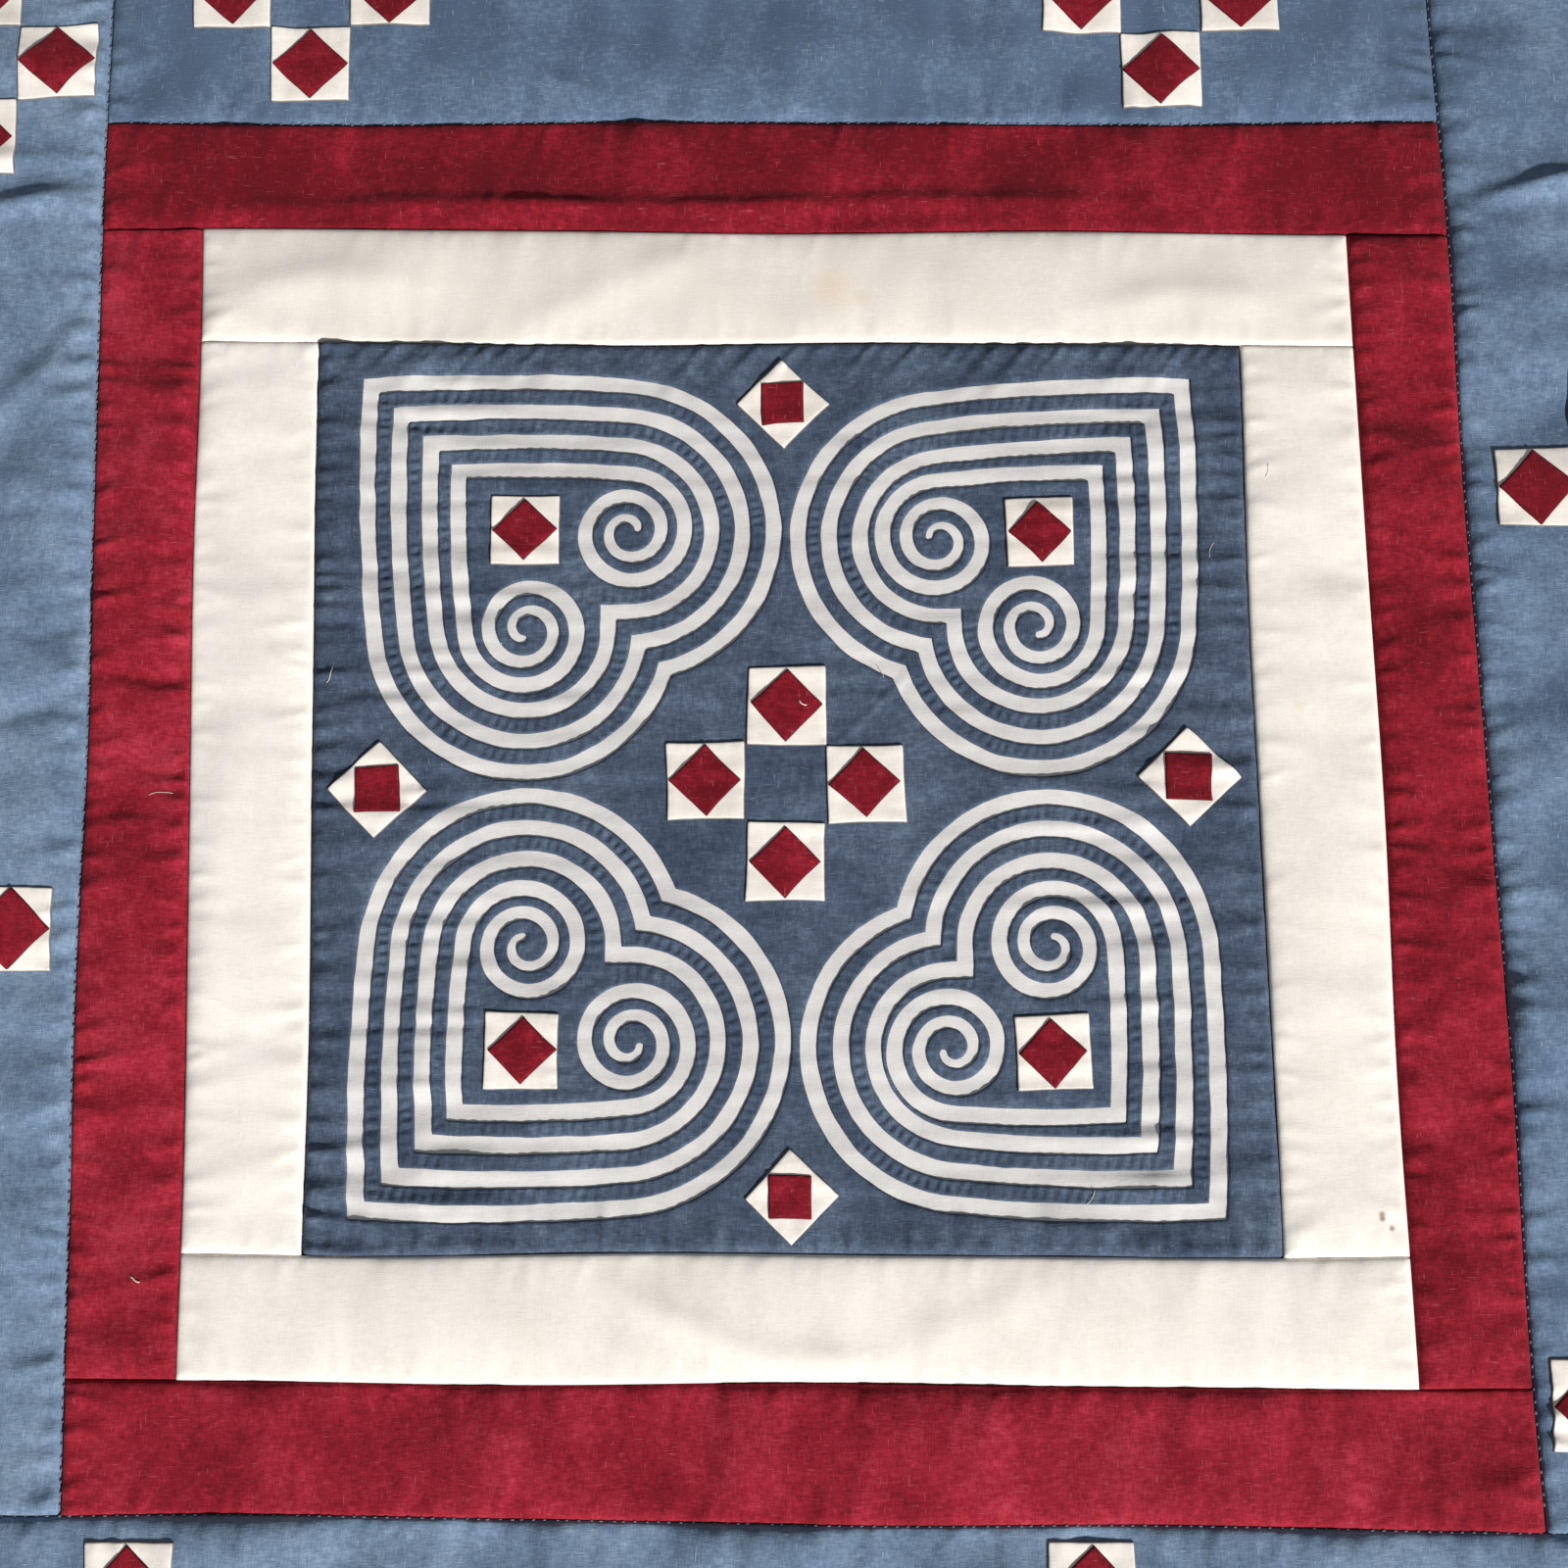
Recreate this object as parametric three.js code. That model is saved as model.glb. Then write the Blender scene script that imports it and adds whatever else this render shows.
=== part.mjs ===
// A pieced and appliqued quilt block, lying flat and face up.
//
// A blue panel is slit in heart-shaped rings and spirals, so that the white cloth under it shows.
// Strips of cream, red and blue cotton are sewn round it, and small squares are sewn on top.
// Lengths are in millimetres. X runs to the right, Y away from the viewer, and Z up from the table.

import * as THREE from 'three';

// Widths of the pieces, seam to seam.
const PANEL_WIDTH = 254;
const STRIP_WIDTH = 31.75;
const BORDER_WIDTH = 76.2;

// Heights above the table. The filled cloth is drawn in at a seam and full in between.
const SEAM_HEIGHT = 3.1;
const FREE_EDGE_HEIGHT = 2.2;
const FIELD_HEIGHT = 4.3;
const SEAM_PULL = 6;
const GROUND_HEIGHT = 2.0;
const PANEL_CROWN = 1.0;
const CROWN_OVERHANG = 6;

// Thickness of each layer, and the room between two pieces.
const BLUE_CLOTH = 0.8;
const CREAM_CLOTH = 0.7;
const RED_CLOTH = 0.6;
const LAYER_GAP = 0.35;
const SEAM_GAP = 0.36;

// Slight unevenness of seams and faces: how far each wave swings, then its length.
const SEAM_WAVER = { long: [0.42, 214], short: [0.16, 119] };
const PANEL_WAVE = { swing: 0.09, acrossX: 107, acrossY: 132, slantSwing: 0.05, slant: 163 };
const FOLD = { everywhere: 0.06, nearSeam: 0.16, reach: 9, start: 2, spacing: 41, bend: 145, broad: 69 };

// The slit hearts: the depth of each cut edge inside the heart's outer edge.
const BAND_WIDTH = 4.4;
const BAND_PITCH = 8.6;
const SPIRAL_BAND_DEPTH = 27.3;
const SPIRAL_START_RADIUS = 17;
const SPIRAL_END_RADIUS = 2.6;
const SPIRAL_TURN = 790;
const SPIRAL_END_WIDTH = 2;

// A heart's sides bow out by this share of their length, and its lobes are this much fuller there.
const SIDE_BOW = 0.018;
const LOBE_STRETCH = 2.4;

// The sewn-on squares: edges in millimetres, and the red square's edge as a share of the cream one.
const CENTRE_SQUARE = 21.6;
const BORDER_SQUARE = 22.8;
const CORNER_LAP = 0.7;
const RED_ON_POINT = 0.68;
const RED_LEVEL = 0.66;

// How finely the pieces are faceted.
const STRIP_COLUMNS = 30;
const STRIP_ROWS = [0, 0.12, 0.5, 0.88, 1];
const PANEL_STEPS = 14;
const SIDE_STEPS = 5;
const ARC_STEPS = 12;
const SPIRAL_STEPS = 33;
const LONGEST_EDGE = 48;
const SAME_POINT = 0.5;
const FIELD_ROUNDS = 6;

// The outermost ring of seams is the quilt's own edge, which lies a little skew.
const OUTER_RING = 4;
const SKEW = -0.7;

// Every seam is a nearly straight line. `ring` counts out from the panel and `side` is 1 for the
// top or the right. `shift` moves the seam's middle off the even spacing, `lean` is its slant in
// degrees and `phase` places the slight waver of hand piecing.
const SEAMS = {
  panelTop: { ring: 1, side: 1, shift: -1.9, lean: -0.55, phase: 0.3 },
  panelBottom: { ring: 1, side: -1, shift: 1.6, lean: -0.56, phase: 1.9 },
  panelLeft: { ring: 1, side: -1, shift: -2.1, lean: -0.75, phase: 2.8 },
  panelRight: { ring: 1, side: 1, shift: 1.4, lean: -0.21, phase: 4.1 },
  creamTop: { ring: 2, side: 1, shift: -0.2, lean: -0.69, phase: 5.2 },
  creamBottom: { ring: 2, side: -1, shift: 0.7, lean: -0.7, phase: 0.9 },
  creamLeft: { ring: 2, side: -1, shift: -3.4, lean: -1.14, phase: 3.6 },
  creamRight: { ring: 2, side: 1, shift: 2.8, lean: -0.36, phase: 1.2 },
  redTop: { ring: 3, side: 1, shift: 1.1, lean: -0.44, phase: 2.2 },
  redBottom: { ring: 3, side: -1, shift: -1.9, lean: -1.04, phase: 4.7 },
  redLeft: { ring: 3, side: -1, shift: -0.4, lean: -0.83, phase: 0.6 },
  redRight: { ring: 3, side: 1, shift: 0.2, lean: -0.77, phase: 3.1 },
  outerTop: { ring: OUTER_RING, side: 1, shift: 0, lean: SKEW, phase: 1.4 },
  outerBottom: { ring: OUTER_RING, side: -1, shift: 0, lean: SKEW, phase: 1.4 },
  outerLeft: { ring: OUTER_RING, side: -1, shift: 0, lean: SKEW, phase: 2.5 },
  outerRight: { ring: OUTER_RING, side: 1, shift: 0, lean: SKEW, phase: 2.5 },
};

// A field is what four seams bound: the top, bottom, left and right one.
const PANEL = ['panelTop', 'panelBottom', 'panelLeft', 'panelRight'];
const STRIPS = [
  { cloth: 'cream', place: 'top', sides: ['creamTop', 'panelTop', 'creamLeft', 'creamRight'] },
  { cloth: 'cream', place: 'bottom', sides: ['panelBottom', 'creamBottom', 'creamLeft', 'creamRight'] },
  { cloth: 'cream', place: 'left', sides: ['panelTop', 'panelBottom', 'creamLeft', 'panelLeft'] },
  { cloth: 'cream', place: 'right', sides: ['panelTop', 'panelBottom', 'panelRight', 'creamRight'] },
  { cloth: 'red', place: 'top', sides: ['redTop', 'creamTop', 'redLeft', 'redRight'] },
  { cloth: 'red', place: 'bottom', sides: ['creamBottom', 'redBottom', 'redLeft', 'redRight'] },
  { cloth: 'red', place: 'left', sides: ['creamTop', 'creamBottom', 'redLeft', 'creamLeft'] },
  { cloth: 'red', place: 'right', sides: ['creamTop', 'creamBottom', 'creamRight', 'redRight'] },
  { cloth: 'blue', place: 'top', sides: ['outerTop', 'redTop', 'redLeft', 'redRight'] },
  { cloth: 'blue', place: 'bottom', sides: ['redBottom', 'outerBottom', 'outerLeft', 'outerRight'] },
  { cloth: 'blue', place: 'left', sides: ['outerTop', 'redBottom', 'outerLeft', 'redLeft'] },
  { cloth: 'blue', place: 'right', sides: ['outerTop', 'redBottom', 'redRight', 'outerRight'] },
];

// The four hearts. Each points to a corner of the panel. The first lobe lies beside its level side
// and the second beside its upright side.
const HEARTS = [
  {
    name: 'upper_left',
    corner: [-117.7, 115.3],
    lobes: [{ at: [-43.0, 70.2], radius: 42.2 }, { at: [-71.0, 42.6], radius: 41.8 }],
    square: { at: [-71.8, 71.1], edge: 19.7, turn: 0 },
  },
  {
    name: 'upper_right',
    corner: [113.8, 113.6],
    lobes: [{ at: [42.5, 67.4], radius: 41.0 }, { at: [68.8, 42.8], radius: 41.8 }],
    square: { at: [70.4, 69.3], edge: 19.2, turn: 1.5 },
  },
  {
    name: 'lower_left',
    corner: [-115.8, -115.2],
    lobes: [{ at: [-42.0, -70.0], radius: 42.8 }, { at: [-70.0, -44.0], radius: 42.7 }],
    square: { at: [-70.8, -71.8], edge: 20.2, turn: -1.0 },
  },
  {
    name: 'lower_right',
    corner: [114.4, -117.1],
    lobes: [{ at: [43.6, -72.2], radius: 40.4 }, { at: [70.5, -45.0], radius: 42.4 }],
    square: { at: [70.3, -73.4], edge: 20.2, turn: 1.8 },
  },
];

// Squares at the middle of the panel's sides, standing on a corner. The red square on each is level.
const SIDE_SQUARES = [
  { name: 'top', at: [-0.2, 107.0], edge: 18.6, turn: 46, redTurn: 2.5 },
  { name: 'left', at: [-110.9, -1.5], edge: 19.5, turn: 44, redTurn: 2.0 },
  { name: 'right', at: [109.0, 0.5], edge: 20.2, turn: 44, redTurn: -1.0 },
  { name: 'bottom', at: [0.3, -110.4], edge: 17.8, turn: 46, redTurn: 0.5 },
];

// The cross in the middle of the panel: four squares that meet at their corners.
const CENTRE_SQUARES = [
  { name: 'top', at: [0.2, 21.0], turn: -0.5, redTurn: 43 },
  { name: 'left', at: [-22.0, 0.3], turn: 0.5, redTurn: 45 },
  { name: 'right', at: [21.4, -0.7], turn: 0.8, redTurn: 47 },
  { name: 'bottom', at: [-0.4, -21.9], turn: -0.6, redTurn: 44 },
];

// The crosses on the blue border, with the middle of each and its turn in degrees.
const BORDER_CROSSES = [
  { name: 'top_left', at: [-135.5, 232.6], turn: 0.5 },
  { name: 'top_right', at: [109.5, 229.2], turn: -0.8 },
  { name: 'left_upper', at: [-230.9, 210.8], turn: 1.2 },
  { name: 'left_lower', at: [-231.2, -38.4], turn: -0.4 },
  { name: 'right_upper', at: [231.4, 81.4], turn: 0.6 },
  { name: 'right_lower', at: [229.9, -165.0], turn: -1.1 },
  { name: 'bottom_left', at: [-168.5, -229.4], turn: 0.7 },
  { name: 'bottom_right', at: [76.2, -231.6], turn: -0.5 },
];

const WHITE_COTTON = new THREE.MeshStandardMaterial({ color: 0xd9d7d3, roughness: 0.9, metalness: 0 });
const CREAM_COTTON = new THREE.MeshStandardMaterial({ color: 0xf0ebe0, roughness: 0.9, metalness: 0 });
const RED_COTTON = new THREE.MeshStandardMaterial({ color: 0x9a2233, roughness: 0.85, metalness: 0 });
const DEEP_BLUE_COTTON = new THREE.MeshStandardMaterial({ color: 0x4c637f, roughness: 0.85, metalness: 0 });
const LIGHT_BLUE_COTTON = new THREE.MeshStandardMaterial({ color: 0x6d89a8, roughness: 0.85, metalness: 0 });
const STRIP_COTTON = { cream: CREAM_COTTON, red: RED_COTTON, blue: LIGHT_BLUE_COTTON };

const radians = THREE.MathUtils.degToRad;
const mix = THREE.MathUtils.lerp;
const wave = (place, length, phase = 0) => Math.sin((2 * Math.PI * place) / length + phase);
const isLevel = (strip) => strip.place === 'top' || strip.place === 'bottom';

// Where a seam lies across its own direction, at a place along it. The quilt's outer edges turn
// into each other when the quilt is turned half round, which keeps its middle at the origin.
function seamAt(seam, place) {
  const isOuter = seam.ring === OUTER_RING;
  const sewnRings = Math.min(seam.ring, OUTER_RING - 1);
  const distance = PANEL_WIDTH / 2 + STRIP_WIDTH * (sewnRings - 1) + (isOuter ? BORDER_WIDTH : 0);
  const walk = isOuter ? seam.side * place : place;
  const [longSwing, longLength] = SEAM_WAVER.long;
  const [shortSwing, shortLength] = SEAM_WAVER.short;
  const long = longSwing * wave(walk, longLength, seam.phase);
  const waver = long + shortSwing * wave(walk, shortLength, 2 * seam.phase);
  const slant = Math.tan(radians(seam.lean)) * place;
  return seam.side * distance + seam.shift + slant + (isOuter ? seam.side * waver : waver);
}

// A point of a field. `across` and `up` run from 0 to 1 between its sides, less half a seam gap.
function fieldPoint(sides, across, up) {
  const [top, bottom, left, right] = sides.map((name) => SEAMS[name]);
  const room = SEAM_GAP / 2;
  let x = 0;
  let y = 0;
  for (let round = 0; round < FIELD_ROUNDS; round += 1) {
    x = mix(seamAt(left, y) + room, seamAt(right, y) - room, across);
    y = mix(seamAt(bottom, x) + room, seamAt(top, x) - room, up);
  }
  return [x, y];
}

// How far a point lies inside each side of its field.
function fieldDepths(sides, x, y) {
  const [top, bottom, left, right] = sides.map((name) => SEAMS[name]);
  return [seamAt(top, x) - y, y - seamAt(bottom, x), x - seamAt(left, y), seamAt(right, y) - x];
}

// Height of a strip: pulled down at its seams and free edges, with soft folds that run off the seams.
function stripHeight(strip, x, y) {
  const depths = fieldDepths(strip.sides, x, y);
  const pulls = strip.sides.map((name, i) => {
    const low = SEAMS[name].ring === OUTER_RING ? FREE_EDGE_HEIGHT : SEAM_HEIGHT;
    return (FIELD_HEIGHT - low) * Math.exp(-Math.max(depths[i], 0) / SEAM_PULL);
  });
  const [along, cross] = isLevel(strip) ? [x, y] : [y, x];
  const close = wave(along, FOLD.spacing, 2 * wave(cross, FOLD.bend));
  const broad = wave(along + cross / 2, FOLD.broad);
  const depth = Math.min(...depths);
  const atSeam = Math.exp(-depth / FOLD.reach) * (1 - Math.exp(-depth / FOLD.start));
  const swing = FOLD.everywhere + FOLD.nearSeam * atSeam;
  return FIELD_HEIGHT - Math.max(...pulls) + swing * (close + broad / 2);
}

// Height of the white cloth under the panel. It swells to the middle and is slightly uneven.
function groundHeight(x, y) {
  const half = PANEL_WIDTH / 2 + CROWN_OVERHANG;
  const crown = (1 - (x / half) ** 2) * (1 - (y / half) ** 2);
  const uneven = PANEL_WAVE.swing * wave(x, PANEL_WAVE.acrossX) * wave(y, PANEL_WAVE.acrossY);
  const slanting = PANEL_WAVE.slantSwing * wave(x + y, PANEL_WAVE.slant);
  return GROUND_HEIGHT + PANEL_CROWN * crown + uneven + slanting;
}

const blueUnderside = (x, y) => groundHeight(x, y) + LAYER_GAP;
const blueTop = (x, y) => blueUnderside(x, y) + BLUE_CLOTH;

// A closed mesh from shared points and triangles.
function bodyOf(points, triangles) {
  const geometry = new THREE.BufferGeometry();
  geometry.setAttribute('position', new THREE.Float32BufferAttribute(points.flat(), 3));
  geometry.setIndex(triangles.flat());
  geometry.computeVertexNormals();
  return geometry;
}

// A strip of filled cloth: an uneven top on a grid, upright sides and a flat underside.
function stripBody(strip) {
  const lastRow = STRIP_ROWS.length - 1;
  const end = STRIP_COLUMNS;
  const points = [];
  const top = [];
  const low = [];
  for (let i = 0; i <= end; i += 1) {
    top.push([]);
    low.push([]);
    STRIP_ROWS.forEach((row, j) => {
      const shares = isLevel(strip) ? [i / end, row] : [1 - row, i / end];
      const [x, y] = fieldPoint(strip.sides, ...shares);
      top[i][j] = points.push([x, y, stripHeight(strip, x, y)]) - 1;
      if (i === 0 || i === end || j === 0 || j === lastRow) low[i][j] = points.push([x, y, 0]) - 1;
    });
  }
  const triangles = [];
  for (let i = 0; i < end; i += 1) {
    const next = i + 1;
    for (let j = 0; j < lastRow; j += 1) {
      triangles.push([top[i][j], top[next][j], top[i][j + 1]]);
      triangles.push([top[next][j], top[next][j + 1], top[i][j + 1]]);
    }
    triangles.push([low[i][0], low[next][0], top[next][0]], [low[i][0], top[next][0], top[i][0]]);
    triangles.push([low[next][lastRow], low[i][lastRow], top[i][lastRow]]);
    triangles.push([low[next][lastRow], top[i][lastRow], top[next][lastRow]]);
    if (i > 0 && next < end) {
      triangles.push([low[i][0], low[i][lastRow], low[next][0]]);
      triangles.push([low[next][0], low[i][lastRow], low[next][lastRow]]);
    }
  }
  for (let j = 0; j < lastRow; j += 1) {
    triangles.push([low[0][j], low[0][j + 1], low[1][0]]);
    triangles.push([low[end][j], low[end - 1][lastRow], low[end][j + 1]]);
    triangles.push([low[0][j], top[0][j], top[0][j + 1]], [low[0][j], top[0][j + 1], low[0][j + 1]]);
    triangles.push([low[end][j], top[end][j + 1], top[end][j]]);
    triangles.push([low[end][j], low[end][j + 1], top[end][j + 1]]);
  }
  triangles.push([low[1][0], low[0][lastRow], low[1][lastRow]]);
  triangles.push([low[end - 1][0], low[end - 1][lastRow], low[end][0]]);
  return bodyOf(points, triangles);
}

// Twice the signed area of a loop, positive when it runs anticlockwise.
function windingOf(loop) {
  return loop.reduce((sum, [x, y], i) => {
    const [nextX, nextY] = loop[(i + 1) % loop.length];
    return sum + x * nextY - nextX * y;
  }, 0);
}

const anticlockwise = (loop) => (windingOf(loop) > 0 ? loop : [...loop].reverse());
const clockwise = (loop) => (windingOf(loop) < 0 ? loop : [...loop].reverse());

// Splits every triangle edge that is longer than `longest`, so that a sheet can follow a crown.
function splitLongEdges(flat, triangles, longest) {
  const middles = new Map();
  const middleOf = (a, b) => {
    const key = a < b ? `${a} ${b}` : `${b} ${a}`;
    const [ax, ay] = flat[a];
    const [bx, by] = flat[b];
    if (!middles.has(key) && Math.hypot(bx - ax, by - ay) > longest) {
      middles.set(key, flat.push([(ax + bx) / 2, (ay + by) / 2]) - 1);
    }
    return middles.get(key);
  };
  const result = [];
  for (const corners of triangles) {
    const cuts = corners.map((corner, i) => middleOf(corner, corners[(i + 1) % 3]));
    const count = cuts.filter((cut) => cut !== undefined).length;
    let first = 0;
    if (count === 1) first = cuts.findIndex((cut) => cut !== undefined);
    if (count === 2) first = (cuts.findIndex((cut) => cut === undefined) + 1) % 3;
    const [a, b, c] = [0, 1, 2].map((i) => corners[(first + i) % 3]);
    const [ab, bc, ca] = [0, 1, 2].map((i) => cuts[(first + i) % 3]);
    if (count === 0) result.push([a, b, c]);
    if (count === 1) result.push([a, ab, c], [ab, b, c]);
    if (count === 2) result.push([ab, b, bc], [a, ab, bc], [a, bc, c]);
    if (count === 3) result.push([a, ab, ca], [ab, b, bc], [ca, bc, c], [ab, bc, ca]);
  }
  return result.length === triangles.length ? result : splitLongEdges(flat, result, longest);
}

// A sheet cut to an outline with holes, between a lower and an upper surface.
function sheetBody(outline, holes, lower, upper) {
  const loops = [anticlockwise(outline), ...holes.map(clockwise)];
  const [rim, ...cuts] = loops.map((loop) => loop.map(([x, y]) => new THREE.Vector2(x, y)));
  const faces = THREE.ShapeUtils.triangulateShape(rim, cuts);
  const flat = loops.flat().map((point) => [...point]);
  const rising = faces.map(([a, b, c]) => (windingOf([flat[a], flat[b], flat[c]]) > 0 ? [a, b, c] : [a, c, b]));
  const split = splitLongEdges(flat, rising, LONGEST_EDGE);
  const count = flat.length;
  const points = [
    ...flat.map(([x, y]) => [x, y, upper(x, y)]),
    ...flat.map(([x, y]) => [x, y, lower(x, y)]),
  ];
  const triangles = [...split, ...split.map(([a, b, c]) => [count + a, count + c, count + b])];
  let start = 0;
  for (const loop of loops) {
    for (let i = 0; i < loop.length; i += 1) {
      const a = start + i;
      const b = start + ((i + 1) % loop.length);
      triangles.push([count + a, count + b, b], [count + a, b, a]);
    }
    start += loop.length;
  }
  return bodyOf(points, triangles);
}

// The panel's outline along its four seams.
function panelOutline() {
  const loop = [];
  const corners = [[0, 0], [1, 0], [1, 1], [0, 1]];
  corners.forEach(([fromX, fromY], i) => {
    const [toX, toY] = corners[(i + 1) % corners.length];
    for (let step = 0; step < PANEL_STEPS; step += 1) {
      const part = step / PANEL_STEPS;
      loop.push(fieldPoint(PANEL, mix(fromX, toX, part), mix(fromY, toY, part)));
    }
  });
  return loop;
}

// A heart's own directions: both point from its corner to the middle of the panel.
const inwardOf = (heart) => heart.corner.map((value) => -Math.sign(value));

// One side of a heart, bowed out a little, from its corner to the outermost point of its lobe.
// `axis` is 0 for the level side and 1 for the upright side.
function heartSide(heart, axis, depth, reach) {
  const inward = inwardOf(heart);
  const start = heart.corner.map((value, i) => value + inward[i] * depth);
  const end = [...heart.lobes[axis].at];
  end[1 - axis] -= inward[1 - axis] * reach;
  const bow = SIDE_BOW * Math.abs(end[axis] - start[axis]);
  const points = [];
  for (let step = 0; step < SIDE_STEPS; step += 1) {
    const part = step / SIDE_STEPS;
    const point = [mix(start[0], end[0], part), mix(start[1], end[1], part)];
    point[1 - axis] -= inward[1 - axis] * bow * 4 * part * (1 - part);
    points.push(point);
  }
  return points;
}

// A point round a lobe. The angle is -90 degrees at the side of the heart and turns to its cleft.
function lobePoint(heart, axis, angle, radius) {
  const inward = inwardOf(heart);
  const point = [...heart.lobes[axis].at];
  point[axis] += inward[axis] * radius * Math.cos(angle);
  point[1 - axis] += inward[1 - axis] * radius * Math.sin(angle);
  return point;
}

// The cleft between the lobes: where their circles cross, or where level and upright lines from
// their nearest points meet once the circles are small.
function heartCleft(heart, depth) {
  const inward = inwardOf(heart);
  const [first, second] = heart.lobes;
  const [ax, ay] = first.at;
  const [bx, by] = second.at;
  const ra = first.radius - depth;
  const rb = second.radius - depth;
  const square = [bx + inward[0] * rb, ay + inward[1] * ra];
  if ((square[0] - ax) * inward[0] < 0) return square;
  const apart = Math.hypot(bx - ax, by - ay);
  const part = (apart ** 2 + ra ** 2 - rb ** 2) / (2 * apart);
  const height = Math.sqrt(ra ** 2 - part ** 2);
  const unit = [(bx - ax) / apart, (by - ay) / apart];
  const crossings = [1, -1].map((sign) => [
    ax + part * unit[0] - sign * height * unit[1],
    ay + part * unit[1] + sign * height * unit[0],
  ]);
  const inwards = ([x, y]) => x * inward[0] + y * inward[1];
  return inwards(crossings[0]) > inwards(crossings[1]) ? crossings[0] : crossings[1];
}

// Half of a heart's contour: one side, then round the lobe to the cleft.
function heartHalf(heart, axis, depth, cleft) {
  const inward = inwardOf(heart);
  const { at, radius } = heart.lobes[axis];
  const toCleft = [0, 1].map((i) => (cleft[i] - at[i]) * inward[i]);
  const first = -Math.PI / 2;
  const last = Math.min(Math.atan2(toCleft[1 - axis], toCleft[axis]), Math.PI / 2);
  const points = heartSide(heart, axis, depth, radius - depth + LOBE_STRETCH);
  for (let step = 0; step <= ARC_STEPS; step += 1) {
    const angle = mix(first, last, step / ARC_STEPS);
    const fuller = LOBE_STRETCH * (Math.min(angle, 0) / first) ** 2;
    points.push(lobePoint(heart, axis, angle, radius - depth + fuller));
  }
  const [endX, endY] = points[points.length - 1];
  return Math.hypot(endX - cleft[0], endY - cleft[1]) < SAME_POINT ? points.slice(0, -1) : points;
}

// A heart's contour at a depth inside its outer edge, as one closed loop.
function heartLoop(heart, depth) {
  const cleft = heartCleft(heart, depth);
  const levelHalf = heartHalf(heart, 0, depth, cleft);
  const uprightHalf = heartHalf(heart, 1, depth, cleft);
  return [...levelHalf, cleft, ...uprightHalf.reverse().slice(0, -1)];
}

// Half the middle line of the innermost band, with its half width at each point: from the heart's
// corner along one side and two turns into the lobe.
function spiralHalf(heart, axis) {
  const side = heartSide(heart, axis, SPIRAL_BAND_DEPTH, SPIRAL_START_RADIUS);
  const line = side.map((point) => ({ point, half: BAND_WIDTH / 2 }));
  for (let step = 0; step <= SPIRAL_STEPS; step += 1) {
    const part = step / SPIRAL_STEPS;
    const angle = radians(SPIRAL_TURN * part - 90);
    const radius = mix(SPIRAL_START_RADIUS, SPIRAL_END_RADIUS, part);
    const half = mix(BAND_WIDTH, SPIRAL_END_WIDTH, part ** 2) / 2;
    line.push({ point: lobePoint(heart, axis, angle, radius), half });
  }
  return line;
}

function headingOf(from, to) {
  const x = to.point[0] - from.point[0];
  const y = to.point[1] - from.point[1];
  const length = Math.hypot(x, y);
  return [x / length, y / length];
}

// The innermost band as one loop: its middle line moved out to both sides, mitred at its corners.
function spiralLoop(heart) {
  const line = [...spiralHalf(heart, 0).reverse(), ...spiralHalf(heart, 1).slice(1)];
  const last = line.length - 1;
  const edge = (sign) => line.map(({ point, half }, i) => {
    const before = headingOf(line[Math.max(i - 1, 0)], line[Math.max(i, 1)]);
    const after = headingOf(line[Math.min(i, last - 1)], line[Math.min(i + 1, last)]);
    const sum = [before[0] + after[0], before[1] + after[1]];
    const size = Math.hypot(...sum);
    const across = [-sum[1] / size, sum[0] / size];
    const spread = (sign * half) / (before[0] * across[1] - before[1] * across[0]);
    return [point[0] + across[0] * spread, point[1] + across[1] * spread];
  });
  return [...edge(1), ...edge(-1).reverse()];
}

// A point turned by some degrees and moved to a middle.
function turned([x, y], [middleX, middleY], degrees) {
  const angle = radians(degrees);
  return [
    middleX + x * Math.cos(angle) - y * Math.sin(angle),
    middleY + x * Math.sin(angle) + y * Math.cos(angle),
  ];
}

// A square outline by its middle, edge and turn in degrees.
function squareLoop(at, edge, turn) {
  const half = edge / 2;
  return [0, 90, 180, 270].map((quarter) => turned([half, half], at, turn + quarter));
}

// A cross of four squares that lap a little at their corners: its outline and its open middle.
function crossLoops(at, edge, turn) {
  const near = (edge + CORNER_LAP) / 2;
  const far = edge * 1.5;
  const arm = [[-near, -far], [near, -far], [near, -near]];
  const outline = [0, 90, 180, 270].flatMap((quarter) => arm.map((point) => turned(point, at, turn + quarter)));
  return { outline, middle: squareLoop(at, edge - CORNER_LAP, turn) };
}

const quilt = new THREE.Group();
quilt.name = 'quilt';

function addPiece(name, geometry, cotton) {
  const piece = new THREE.Mesh(geometry, cotton);
  piece.name = name;
  quilt.add(piece);
}

// The panel: white cloth below, and blue cloth above it, cut away in bands.
function addPanel() {
  const outline = panelOutline();
  const addBlue = (name, rim, cuts) => {
    addPiece(name, sheetBody(rim, cuts, blueUnderside, blueTop), DEEP_BLUE_COTTON);
  };
  addPiece('white_ground', sheetBody(outline, [], () => 0, groundHeight), WHITE_COTTON);
  addBlue('blue_field', outline, HEARTS.map((heart) => heartLoop(heart, 0)));
  for (const heart of HEARTS) {
    for (const ring of [1, 2]) {
      const outer = heartLoop(heart, BAND_PITCH * (ring - 1) + BAND_WIDTH);
      const inner = heartLoop(heart, BAND_PITCH * ring);
      addBlue(`blue_ring_${ring}_${heart.name}`, outer, [inner]);
    }
    const core = heartLoop(heart, BAND_PITCH * 2 + BAND_WIDTH);
    addBlue(`blue_core_${heart.name}`, core, [spiralLoop(heart)]);
  }
}

function addStrips() {
  for (const strip of STRIPS) {
    addPiece(`${strip.cloth}_strip_${strip.place}`, stripBody(strip), STRIP_COTTON[strip.cloth]);
  }
}

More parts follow.
